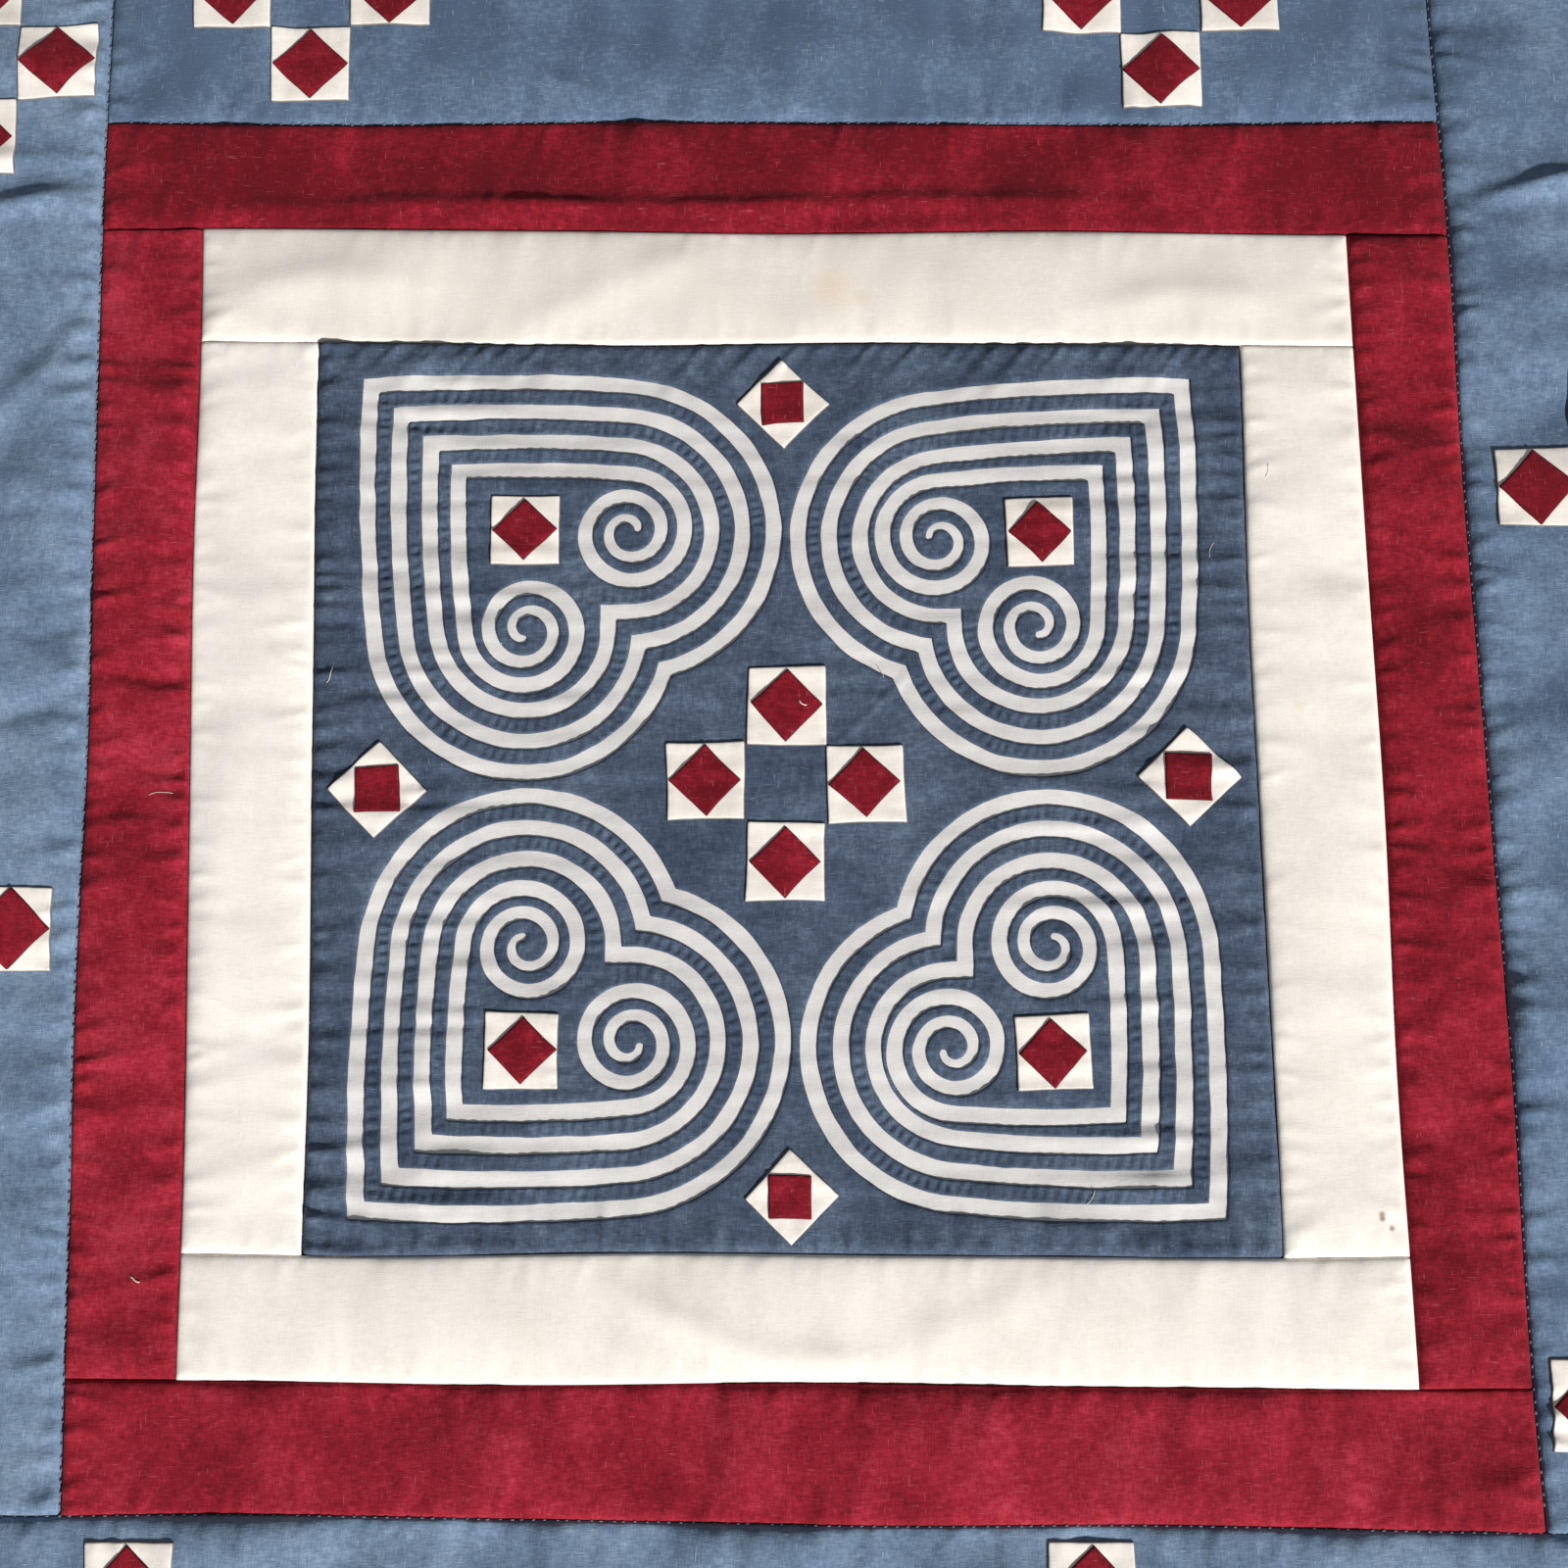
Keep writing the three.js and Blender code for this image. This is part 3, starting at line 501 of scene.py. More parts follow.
def strip_height(name, x, y):
    """The top of a strip: full in the middle, drawn in at its seams, with puckers and folds."""
    sides = STRIPS[name][0]
    level = name.endswith(("top", "bottom"))
    number = list(STRIPS).index(name)
    cloth = name.split("_")[0]
    depths = [np.maximum(depth, 0) for depth in field_depths(sides, x, y)]
    broad = np.zeros(x.shape)
    groove = np.zeros(x.shape)
    puckers = np.zeros(x.shape)
    for i, side in enumerate(sides):
        is_free = SEAMS[side][0] == OUTER_RING
        depth = depths[i]
        dip = FREE_BROAD_DIP if is_free else BROAD_DIP
        broad = np.maximum(broad, dip * np.exp(-depth / SEAM_PULL))
        dip = FREE_EDGE_DIP if is_free else CLOTH_GROOVE[cloth]
        groove = np.maximum(groove, dip * groove_shape(depth))
        along = x if i < 2 else y
        seed = 100 * number + 10 * i
        height = (LEVEL_PUCKER if i < 2 else UPRIGHT_PUCKER) * CLOTH_PUCKER[cloth]
        puckers += seam_puckers(
            along, depth, seed, STRIP_PUCKER_SPACING, height, STRIP_PUCKER_REACH, STRIP_PUCKER_LEAN
        )
        fine = wander(along, FINE_PITCH, seed + 3) * np.exp(-depth / INNER_REACH)
        puckers += FINE_PUCKER * fine * (1 - np.exp(-depth / 0.6))
    cross_x, cross_y = (9.0, 30.0) if level else (30.0, 9.0)
    rolls = 0.5 * hills(x, y, cross_x, cross_y, 900 + number)
    swell = 0.9 * hills(x, y, 31, 25, 950 + number) + 0.6 * hills(x + y, x - y, 20, 29, 970 + number)
    height = FIELD_HEIGHT - broad - groove + puckers
    inner = 1 - np.exp(-np.minimum.reduce(depths) / INNER_REACH)
    height += CLOTH_SWELL[cloth] * (rolls + swell) * inner
    for i, (strip, line, width, rise) in enumerate(FOLDS):
        if strip == name:
            height += FOLD_FULLNESS * rise * inner * fold_height(line, width, x, y, 500 + i)
    return height


def ground_height(x, y):
    """The table side of the panel: it swells to the middle and is slightly uneven."""
    half = PANEL_WIDTH / 2 + CROWN_OVERHANG
    crown = (1 - (x / half) ** 2) * (1 - (y / half) ** 2)
    uneven = 0.09 * wave(x, 107) * wave(y, 132) + 0.05 * wave(x + y, 163)
    return GROUND_HEIGHT + PANEL_CROWN * crown + uneven


def panel_relief(x, y):
    """Soft ripples of the panel, and puckers that run off its seams."""
    ripples = 0.4 * hills(x, y, 19, 23, 41) + 0.22 * hills(x + y, x - y, 14, 18, 42)
    relief = np.zeros(x.shape)
    for i, depth in enumerate(field_depths(PANEL, x, y)):
        depth = np.maximum(depth, 0)
        along = (x + TOP_PUCKER_SLANT * depth, x, y, y)[i]
        height, reach = PANEL_PUCKERS[i]
        relief += seam_puckers(
            along, depth, 60 + i, PANEL_PUCKER_SPACING, height, reach, PANEL_PUCKER_LEAN
        )
    sides = np.exp(-np.minimum(np.abs(np.abs(x) - 97), 60) / 18)
    for i, (line, width, rise) in enumerate(PANEL_FOLDS):
        ripples = ripples + rise * fold_height(line, width, x, y, 560 + i)
    cross = 1 + hills(x, y, 26, 3.8, 43) + 0.5 * hills(x, y, 13, 2.6, 44)
    return ripples + relief + 0.7 * (0.3 + sides) * cross


def panel_depth(x, y):
    """How far points lie inside the panel's seams."""
    return np.maximum(np.minimum.reduce(field_depths(PANEL, x, y)), 0)


def panel_groove(depth):
    """How far the panel is drawn in at a depth inside its seams."""
    return PANEL_GROOVE_DIP * groove_shape(depth) + PANEL_BROAD_DIP * np.exp(-depth / PANEL_SEAM_PULL)


def panel_height(x, y):
    """The white cloth's own height, drawn in at the panel's seams."""
    return ground_height(x, y) + panel_relief(x, y) + WHITE_RISE - panel_groove(panel_depth(x, y))


# Outlines

def resampled(loop, step):
    """A closed loop again, with points about a step apart and its sharp corners kept."""
    ahead = np.roll(loop, -1, axis=0) - loop
    behind = loop - np.roll(loop, 1, axis=0)
    turn = np.abs(np.arctan2(
        behind[:, 0] * ahead[:, 1] - behind[:, 1] * ahead[:, 0],
        (behind * ahead).sum(axis=1),
    ))
    corners = np.flatnonzero(turn > math.radians(28))
    if len(corners) == 0:
        corners = np.array([0])
    parts = []
    for n, first in enumerate(corners):
        last = corners[(n + 1) % len(corners)]
        count = (last - first) % len(loop) or len(loop)
        run = loop[(first + np.arange(count + 1)) % len(loop)]
        walked = np.concatenate([[0], np.cumsum(np.linalg.norm(np.diff(run, axis=0), axis=1))])
        steps = max(2, round(walked[-1] / step))
        places = np.arange(steps) * walked[-1] / steps
        parts.append(np.stack([np.interp(places, walked, run[:, i]) for i in (0, 1)], axis=1))
    return np.vstack(parts)


def outward(loop):
    """Directions out of an anticlockwise loop at each of its points."""
    way = np.roll(loop, -1, axis=0) - np.roll(loop, 1, axis=0)
    way /= np.linalg.norm(way, axis=1)[:, None]
    return np.stack([way[:, 1], -way[:, 0]], axis=1)


def anticlockwise(loop):
    ahead = np.roll(loop, -1, axis=0)
    area = (loop[:, 0] * ahead[:, 1] - ahead[:, 0] * loop[:, 1]).sum()
    return loop if area > 0 else loop[::-1].copy()


def hand_cut(loop, seed, step=EDGE_STEP, swing=0.14):
    """A loop sewn by hand: finely stepped, a little uneven and drawn in at each stitch."""
    loop = resampled(anticlockwise(loop), step)
    walked = walk_of(loop)[:-1]
    uneven = swing * wander(walked, 7, seed) + 0.4 * swing * wander(walked, 2.6, seed + 1)
    fade = np.minimum(1, np.minimum(walked, walked[-1] - walked) / 4)
    return loop + outward(loop) * (uneven * fade)[:, None]


def walk_of(loop):
    """Length walked along a closed loop at each point, and all round."""
    steps = np.linalg.norm(np.roll(loop, -1, axis=0) - loop, axis=1)
    return np.concatenate([[0], np.cumsum(steps)])


def inward_of(heart):
    """The signs of the way from a heart's corner to the middle of the panel."""
    corner = HEARTS[heart][0]
    return (-math.copysign(1, corner[0]), -math.copysign(1, corner[1]))


def heart_side(heart, axis, depth, reach):
    """One side of a heart, bowed out a little, from its corner to the outermost point of its lobe."""
    inward = inward_of(heart)
    corner, *lobes = HEARTS[heart]
    start = [corner[i] + inward[i] * depth for i in (0, 1)]
    end = list(lobes[axis][:2])
    end[1 - axis] -= inward[1 - axis] * reach
    part = np.arange(24) / 24
    points = np.array(start) + np.outer(part, np.array(end) - np.array(start))
    bow = SIDE_BOW * abs(end[axis] - start[axis])
    points[:, 1 - axis] -= inward[1 - axis] * bow * 4 * part * (1 - part)
    return points


def lobe_points(heart, axis, angle, radius):
    """Points round the middle of a lobe, at angles from its inward way along its side."""
    inward = inward_of(heart)
    middle = HEARTS[heart][1 + axis]
    points = np.zeros((len(angle), 2))
    points[:, axis] = middle[axis] + inward[axis] * radius * np.cos(angle)
    points[:, 1 - axis] = middle[1 - axis] + inward[1 - axis] * radius * np.sin(angle)
    return points


def heart_cleft(heart, depth):
    """Where the lobes' circles cross, or a square corner between them once they are small."""
    inward = inward_of(heart)
    level_x, level_y, level_radius = HEARTS[heart][1]
    upright_x, upright_y, upright_radius = HEARTS[heart][2]
    level_radius -= depth
    upright_radius -= depth
    square = (upright_x + inward[0] * upright_radius, level_y + inward[1] * level_radius)
    if (square[0] - level_x) * inward[0] < 0:
        return np.array(square)
    apart = math.hypot(upright_x - level_x, upright_y - level_y)
    part = (apart**2 + level_radius**2 - upright_radius**2) / (2 * apart)
    height = math.sqrt(level_radius**2 - part**2)
    way_x, way_y = (upright_x - level_x) / apart, (upright_y - level_y) / apart
    foot_x, foot_y = level_x + part * way_x, level_y + part * way_y
    crossings = [
        (foot_x - sign * height * way_y, foot_y + sign * height * way_x) for sign in (1, -1)
    ]
    return np.array(max(crossings, key=lambda point: point[0] * inward[0] + point[1] * inward[1]))


def heart_half(heart, axis, depth, cleft):
    """One side of a heart and the lobe that goes on from it, up to the cleft."""
    inward = inward_of(heart)
    middle = HEARTS[heart][1 + axis]
    radius = middle[2] - depth
    to_cleft = [(cleft[i] - middle[i]) * inward[i] for i in (0, 1)]
    first = -math.pi / 2
    last = min(math.atan2(to_cleft[1 - axis], to_cleft[axis]), math.pi / 2)
    angle = np.linspace(first, last, 90)
    fuller = LOBE_STRETCH * (np.minimum(angle, 0) / first) ** 2
    side = heart_side(heart, axis, depth, radius + LOBE_STRETCH)
    points = np.vstack([side, lobe_points(heart, axis, angle, radius + fuller)])
    return points[:-1] if np.hypot(*(points[-1] - cleft)) < 0.5 else points


def heart_loop(heart, depth):
    """A heart's contour at a depth inside its outer edge."""
    cleft = heart_cleft(heart, depth)
    level = heart_half(heart, 0, depth, cleft)
    upright = heart_half(heart, 1, depth, cleft)
    return np.vstack([level, cleft[None], upright[::-1][:-1]])


def spiral_loop(heart):
    """The innermost band: from one spiral's end along the heart's sides to the other's."""
    halves = []
    for axis in (0, 1):
        side = heart_side(heart, axis, SPIRAL_BAND_DEPTH, SPIRAL_START_RADIUS)
        part = np.linspace(0, 1, 220)
        angle = np.radians(SPIRAL_TURN * part - 90)
        radius = SPIRAL_START_RADIUS + (SPIRAL_END_RADIUS - SPIRAL_START_RADIUS) * part
        width = BAND_WIDTH + (SPIRAL_END_WIDTH - BAND_WIDTH) * part**2
        line = np.vstack([side, lobe_points(heart, axis, angle, radius)])
        halves.append((line, np.concatenate([np.full(len(side), BAND_WIDTH), width]) / 2))
    line = np.vstack([halves[0][0][::-1], halves[1][0][1:]])
    half = np.concatenate([halves[0][1][::-1], halves[1][1][1:]])
    step = np.diff(line, axis=0)
    step /= np.linalg.norm(step, axis=1)[:, None]
    before = np.vstack([step[:1], step])
    after = np.vstack([step, step[-1:]])
    way = before + after
    way /= np.linalg.norm(way, axis=1)[:, None]
    across = np.stack([-way[:, 1], way[:, 0]], axis=1)
    spread = half / (before[:, 0] * across[:, 1] - before[:, 1] * across[:, 0])
    turn = np.radians(np.linspace(-90, 90, 9)[1:-1])
    caps = []
    for end, sign in ((-1, 1), (0, -1)):
        along = np.outer(np.cos(turn) * half[end] * 0.9, way[end] * sign)
        aside = np.outer(np.sin(turn) * half[end], across[end] * sign)
        caps.append(line[end] + along - aside)
    left = line + across * spread[:, None]
    right = line - across * spread[:, None]
    last_cap = caps[0][np.argsort(-(caps[0] - line[-1]) @ across[-1])]
    first_cap = caps[1][np.argsort((caps[1] - line[0]) @ across[0])]
    return np.vstack([left, last_cap, right[::-1], first_cap])


def square_loop(x, y, edge, turn, seed):
    """A small square with soft corners and slightly bowed, uneven edges."""
    draw = np.random.default_rng(seed)
    half = edge / 2
    corners = np.array([(half, half), (-half, half), (-half, -half), (half, -half)])
    corners += draw.uniform(-0.35, 0.35, (4, 2))
    points = []
    for i, start in enumerate(corners):
        end = corners[(i + 1) % 4]
        share = np.linspace(0.014, 0.986, 16)[:, None]
        side = start + (end - start) * share
        normal = np.array([end[1] - start[1], start[0] - end[0]]) / edge
        bow = draw.uniform(-0.3, 0.15) * 4 * share * (1 - share)
        points.append(side + normal * bow)
    angle = math.radians(turn)
    spin = np.array([[math.cos(angle), math.sin(angle)], [-math.sin(angle), math.cos(angle)]])
    return np.vstack(points) @ spin + (x, y)


# Closed sheets of cloth

def spread_points(low, high, step, seed):
    """Points in rows over a box, each a little off its place."""
    draw = np.random.default_rng(seed)
    rows = np.arange(low[1], high[1], step * math.sqrt(3) / 2)
    columns = np.arange(low[0], high[0], step)
    x, y = np.meshgrid(columns, rows)
    x = x + (np.arange(len(rows)) % 2)[:, None] * step / 2
    points = np.stack([x.ravel(), y.ravel()], axis=1)
    return points + draw.uniform(-0.12, 0.12, points.shape) * step


class Edges:
    """The cut edges of a piece, to find how far inside them a point lies."""

    def __init__(self, loops):
        self.start = np.vstack(loops)
        self.end = np.vstack([np.roll(loop, -1, axis=0) for loop in loops])
        self.before = np.concatenate([
            offset + (np.arange(len(loop)) - 1) % len(loop)
            for offset, loop in zip(np.cumsum([0] + [len(loop) for loop in loops[:-1]]), loops)
        ])
        self.walked = np.concatenate([walk_of(loop)[:-1] for loop in loops])
        self.tree = KDTree(len(self.start))
        for i, (x, y) in enumerate(self.start.tolist()):
            self.tree.insert((x, y, 0), i)
        self.tree.balance()

    def depth_and_walk(self, points):
        """Distance to the nearest edge, and how far along it that lies."""
        find = self.tree.find
        near = np.array([find((x, y, 0))[1] for x, y in points.tolist()])
        depth = np.full(len(points), 1e9)
        walk = np.zeros(len(points))
        for edge in (near, self.before[near]):
            step = self.end[edge] - self.start[edge]
            size = np.linalg.norm(step, axis=1)
            part = ((points - self.start[edge]) * step).sum(axis=1) / size**2
            part = np.clip(part, 0, 1)
            away = np.linalg.norm(points - self.start[edge] - step * part[:, None], axis=1)
            walk = np.where(away < depth, self.walked[edge] + part * size, walk)
            depth = np.minimum(depth, away)
        return depth, walk


def filled(loops, inner):
    """Triangles that fill the first loop without the others, through the inner points as well."""
    rims = []
    count = 0
    for loop in loops:
        rims.append(list(range(count, count + len(loop))))
        count += len(loop)
    points = np.vstack([*loops, inner])
    flat, _, faces, origins, _, inside = delaunay_2d_cdt(
        [Vector(point) for point in points.tolist()], [], rims, 0, 1e-7
    )
    for i in range(count):
        assert origins[i] == [i], "two edges of a piece touch"
    kept = [face for face, within in zip(faces, inside) if within == [0]]
    return np.array([tuple(point) for point in flat]), np.array(kept)


def sheet_mesh(loops, step, back_step, top, under, seed=0):
    """A closed sheet: its top on fine points, its underside on few, meeting in its edges."""
    loops = [anticlockwise(loop) for loop in loops]
    edges = Edges(loops)
    low, high = loops[0].min(axis=0), loops[0].max(axis=0)
    count = sum(len(loop) for loop in loops)
    sides = []
    for rows, spacing in ((EDGE_ROWS, step), ((1.0,), back_step)):
        inner = []
        for row in rows:
            for i, loop in enumerate(loops):
                moved = loop + outward(loop) * (row if i else -row)
                depth, _ = edges.depth_and_walk(moved)
                inner.append(moved[depth > 0.93 * row])
        spread = spread_points(low, high, spacing, seed)
        depth, _ = edges.depth_and_walk(spread)
        inner.append(spread[depth > rows[-1] + 0.45 * spacing])
        sides.append(filled(loops, np.vstack(inner)))
    (flat_top, faces_top), (flat_under, faces_under) = sides
    depth, walk = edges.depth_and_walk(flat_top)
    depth[:count] = 0
    z_top = top(flat_top[:, 0], flat_top[:, 1], depth, walk)
    under_depth, _ = edges.depth_and_walk(flat_under[count:])
    z_under = under(flat_under[count:, 0], flat_under[count:, 1], under_depth)
    points = np.vstack([
        np.column_stack([flat_top, z_top]),
        np.column_stack([flat_under[count:], z_under]),
    ])
    shift = len(flat_top) - count
    flipped = faces_under[:, ::-1]
    faces = np.vstack([faces_top, np.where(flipped < count, flipped, flipped + shift)])
    # The share of painted rim shade: full at the edges and on the underside, fading inward.
    rim = np.concatenate([np.exp(-depth / SHADE_RIM_WIDTH), np.ones(len(z_under))])
    return points, faces, rim


def piece_of(name, points, faces, material, rim=None, tone=0.0):
    """A finished object from points in millimetres."""
    mesh = bpy.data.meshes.new(name)
    mesh.vertices.add(len(points))
    mesh.vertices.foreach_set("co", (points * MM).astype(np.float32).ravel())
    mesh.loops.add(faces.size)
    mesh.loops.foreach_set("vertex_index", faces.astype(np.int32).ravel())
    mesh.polygons.add(len(faces))
    mesh.polygons.foreach_set("loop_start", np.arange(0, faces.size, faces.shape[1], dtype=np.int32))
    mesh.polygons.foreach_set("use_smooth", np.ones(len(faces), bool))
    mesh.update(calc_edges=True)
    mesh.validate()
    if rim is not None:
        # The rim attribute carries the painted shade along the seams and cut edges.
        mesh.attributes.new("rim", "FLOAT", "POINT").data.foreach_set("value", rim.astype(np.float32))
        tones = np.full(len(points), tone, np.float32)
        mesh.attributes.new("tone", "FLOAT", "POINT").data.foreach_set("value", tones)
    mesh.materials.append(material)
    piece = bpy.data.objects.new(name, mesh)
    bpy.context.scene.collection.objects.link(piece)
    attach(piece, "root")
    return piece


def joined(parts):
    """Several bodies as one: their points, faces and rims."""
    points, faces, rims = [], [], []
    count = 0
    for part_points, part_faces, part_rim in parts:
        points.append(part_points)
        faces.append(part_faces + count)
        rims.append(part_rim)
        count += len(part_points)
    return np.vstack(points), np.vstack(faces), np.concatenate(rims)


def rounded(depth, rise, reach=EDGE_ROUND):
    """Height of a turned-under edge: a quarter round that levels off."""
    part = 1 - np.clip(depth / reach, 0, 1)
    return rise * np.sqrt(1 - part * part)


def stitch_dimples(walk, depth, height, seed, reach=1.3):
    """Small dents where hand stitches draw an edge down."""
    phase = walk / EDGE_STITCH + 0.35 * wander(walk, 9, seed)
    dent = (0.5 + 0.5 * np.cos(2 * math.pi * phase)) ** 1.5
    strength = 0.75 + 0.35 * wander(walk, 12, seed + 1)
    return height * dent * strength * np.exp(-depth / reach) * (1 - np.exp(-depth / 0.5))


# Shader maths

class Value:
    """A socket of a finish, so that shader maths reads as plain sums."""

    def __init__(self, finish, socket):
        self.finish = finish
        self.socket = socket

    def maths(self, operation, *others):
        node = self.finish.node("ShaderNodeMath", {"operation": operation})
        for i, value in enumerate(others):
            self.finish.feed(node.inputs[i], value)
        return Value(self.finish, node.outputs[0])

    def __add__(self, other):
        return self.maths("ADD", self, other)

    def __radd__(self, other):
        return self.maths("ADD", other, self)

    def __sub__(self, other):
        return self.maths("SUBTRACT", self, other)

    def __rsub__(self, other):
        return self.maths("SUBTRACT", other, self)

    def __mul__(self, other):
        return self.maths("MULTIPLY", self, other)

    def __rmul__(self, other):
        return self.maths("MULTIPLY", other, self)

    def at_least(self, other):
        return self.maths("MAXIMUM", self, other)

    def between(self, low, high):
        """0 below the low value, 1 above the high one, and soft in between."""
        node = self.finish.node(
            "ShaderNodeMapRange",
            {"interpolation_type": "SMOOTHSTEP"},
            {"Value": self, "From Min": low, "From Max": high},
        )
        return Value(self.finish, node.outputs["Result"])


class Finish:
    """A material and its nodes."""

    def __init__(self, name):
        self.material = bpy.data.materials.new(name)
        self.material.use_nodes = True
        self.tree = self.material.node_tree
        self.tree.nodes.clear()
        coordinates = self.node("ShaderNodeTexCoord")
        self.place = Value(self, coordinates.outputs["Object"])

    def feed(self, socket, value):
        if isinstance(value, Value):
            self.tree.links.new(value.socket, socket)
        else:
            socket.default_value = value

    def node(self, kind, settings=None, sockets=None):
        node = self.tree.nodes.new(kind)
        for key, value in (settings or {}).items():
            setattr(node, key, value)
        for key, value in (sockets or {}).items():
            self.feed(node.inputs[key], value)
        return node

    def noise(self, size, detail=2.0, roughness=0.5):
        """Uneven 0 to 1 whose grains have these sizes in millimetres along X and Y."""
        scale = (1 / (size[0] * MM), 1 / (size[1] * MM), 1 / (max(size) * MM))
        mapping = self.node(
            "ShaderNodeMapping",
            {"vector_type": "POINT"},
            {"Vector": self.place, "Scale": scale},
        )
        node = self.node(
            "ShaderNodeTexNoise",
            {"noise_dimensions": "3D"},
            {
                "Vector": Value(self, mapping.outputs[0]),
                "Scale": 1.0,
                "Detail": detail,
                "Roughness": roughness,
            },
        )
        return Value(self, node.outputs["Fac"])

    def near(self, x, y, radius):
        """1 at a place on the quilt, fading to 0 at a radius."""
        offset = self.node(
            "ShaderNodeVectorMath",
            {"operation": "SUBTRACT"},
            {0: self.place, 1: (x * MM, y * MM, MARK_HEIGHT * MM)},
        )
        length = self.node(
            "ShaderNodeVectorMath", {"operation": "LENGTH"}, {0: Value(self, offset.outputs[0])}
        )
        away = Value(self, length.outputs["Value"])
        return 1 - away.between(0.0, radius * MM)

    def attribute(self, name):
        node = self.node("ShaderNodeAttribute", {"attribute_name": name})
        return Value(self, node.outputs["Fac"])

    def mixed(self, share, first, second):
        node = self.node("ShaderNodeMix", {"data_type": "RGBA", "clamp_factor": True})
        self.feed(node.inputs[0], share)
        self.feed(node.inputs[6], first)
        self.feed(node.inputs[7], second)
        return Value(self, node.outputs[2])

    def surface(self, colour, height, depth, roughness, sheen):
        bump = self.node(
            "ShaderNodeBump", {}, {"Strength": 1.0, "Distance": depth * MM, "Height": height}
        )
        shader = self.node(
            "ShaderNodeBsdfPrincipled",
            {},
            {
                "Base Color": colour,
                "Roughness": roughness,
                "Normal": Value(self, bump.outputs[0]),
                "Specular IOR Level": 0.12,
                "Sheen Weight": sheen,
                "Sheen Roughness": 0.5,
            },
        )
        output = self.node("ShaderNodeOutputMaterial")
        self.tree.links.new(shader.outputs[0], output.inputs[0])
        return self.material


def linear(red, green, blue):
    """A screen colour from 0 to 255 as the shader's own numbers."""
    def one(value):
        value /= 255
        return value / 12.92 if value <= 0.04045 else ((value + 0.055) / 1.055) ** 2.4
    return (one(red), one(green), one(blue), 1.0)


def cotton(name, shades, fleck, rim, weave, sheen, marks=()):
    """Plain woven cotton: uneven yarns both ways, slubs, a little wash wear, and rims painted darker
    as shade along its seams and cut edges (paler on the light blue cloth).

    Its shades are a deep, a middle and a pale one. The flecks and the painted rim shade have a colour
    and a share, and each mark has its place, radius, share and colour.
    """
    finish = Finish(name)
    deep, middle, pale = (linear(*shade) for shade in shades)
    warp = finish.noise((YARN, 7 * YARN), 1.0)
    weft = finish.noise((7 * YARN, YARN), 1.0)
    grain = finish.noise((1.2 * YARN, 1.2 * YARN), 2.0, 0.7)
    wash = finish.noise((23, 31), 3.0, 0.55)
    worn = finish.noise((5, 6), 2.0, 0.6)
    mottle = finish.noise((2.4, 1.5), 4.0, 0.72)
    yarns = (warp + weft) * 0.5
    tone = yarns * 0.25 + grain * 0.1 + mottle * 0.25 + worn * 0.15 + wash * 0.25
    tone = tone + finish.attribute("tone")
    colour = finish.mixed(tone.between(*DEEP_TO_MIDDLE), deep, middle)
    colour = finish.mixed(tone.between(*MIDDLE_TO_PALE), colour, pale)
    slub_warp = finish.noise((1.1 * YARN, 9 * YARN), 1.5).between(*SLUB_RANGE)
    slub_weft = finish.noise((9 * YARN, 1.1 * YARN), 1.5).between(*SLUB_RANGE)
    slubs = slub_warp.at_least(slub_weft)
    colour = finish.mixed(slubs * fleck[1], colour, linear(*fleck[0]))
    # Painted shade: the rim attribute darkens the cloth along its seams and cut edges.
    on_shaded_rim = finish.attribute("rim").between(*SHADE_RIM_RANGE)
    colour = finish.mixed(on_shaded_rim * rim[1], colour, linear(*rim[0]))
    for x, y, radius, share, stain in marks:
        spot = finish.near(x, y, radius) * (0.5 + worn)
        colour = finish.mixed(spot * share, colour, linear(*stain))
    height = yarns * 0.7 + grain * 0.3 + slubs * 0.3
    return finish.surface(colour, height, weave, 0.9, sheen)


# The cottons by the names of their slots. Each rim colour is painted shade along the seams and cut
# edges; on the light blue cloth the rim is painted paler instead.
COTTONS = {
    "white_cotton": cotton(
        "white_cotton", ((204, 202, 201), (213, 211, 210), (221, 219, 217)),
        fleck=((230, 228, 224), 0.15), rim=((190, 188, 190), 0.3), weave=0.1, sheen=0.05,
    ),
    "cream_cotton": cotton(
        "cream_cotton", ((228, 221, 213), (236, 230, 223), (243, 238, 232)),
        fleck=((248, 243, 236), 0.15), rim=((96, 84, 82), 0.85), weave=0.07, sheen=0.05,
        marks=(
            (14, 140.7, 9, 0.35, (226, 200, 150)),
            (22, 138, 4, 0.3, (222, 190, 140)),
            (155.0, -115.9, 1.4, 1.1, (136, 112, 86)),
            (155.1, -117.0, 1.3, 1.1, (136, 112, 86)),
            (157.6, -119.5, 1.3, 1.0, (148, 122, 96)),
            (140, 20, 2.5, 0.3, (222, 198, 150)),
        ),
    ),
    "red_cotton": cotton(
        "red_cotton", ((105, 15, 28), (142, 28, 43), (172, 51, 69)),
        fleck=((196, 98, 110), 0.38), rim=((64, 6, 14), 0.7), weave=0.22, sheen=0.04,
    ),
    "deep_blue_cotton": cotton(
        "deep_blue_cotton", ((50, 61, 81), (72, 85, 105), (99, 114, 135)),
        fleck=((136, 152, 172), 0.38), rim=((30, 38, 54), 0.85), weave=0.24, sheen=0.05,
    ),
    "light_blue_cotton": cotton(
        "light_blue_cotton", ((82, 101, 126), (108, 129, 154), (136, 157, 181)),
        fleck=((174, 190, 206), 0.42), rim=((150, 172, 194), 0.35), weave=0.22, sheen=0.05,
    ),
}


def thread_finish(name, deep, pale):
    finish = Finish(name)
    twist = finish.noise((0.25, 0.25), 2.0, 0.6)
    colour = finish.mixed(twist, linear(*deep), linear(*pale))
    return finish.surface(colour, twist, 0.05, 0.8, 0.1)


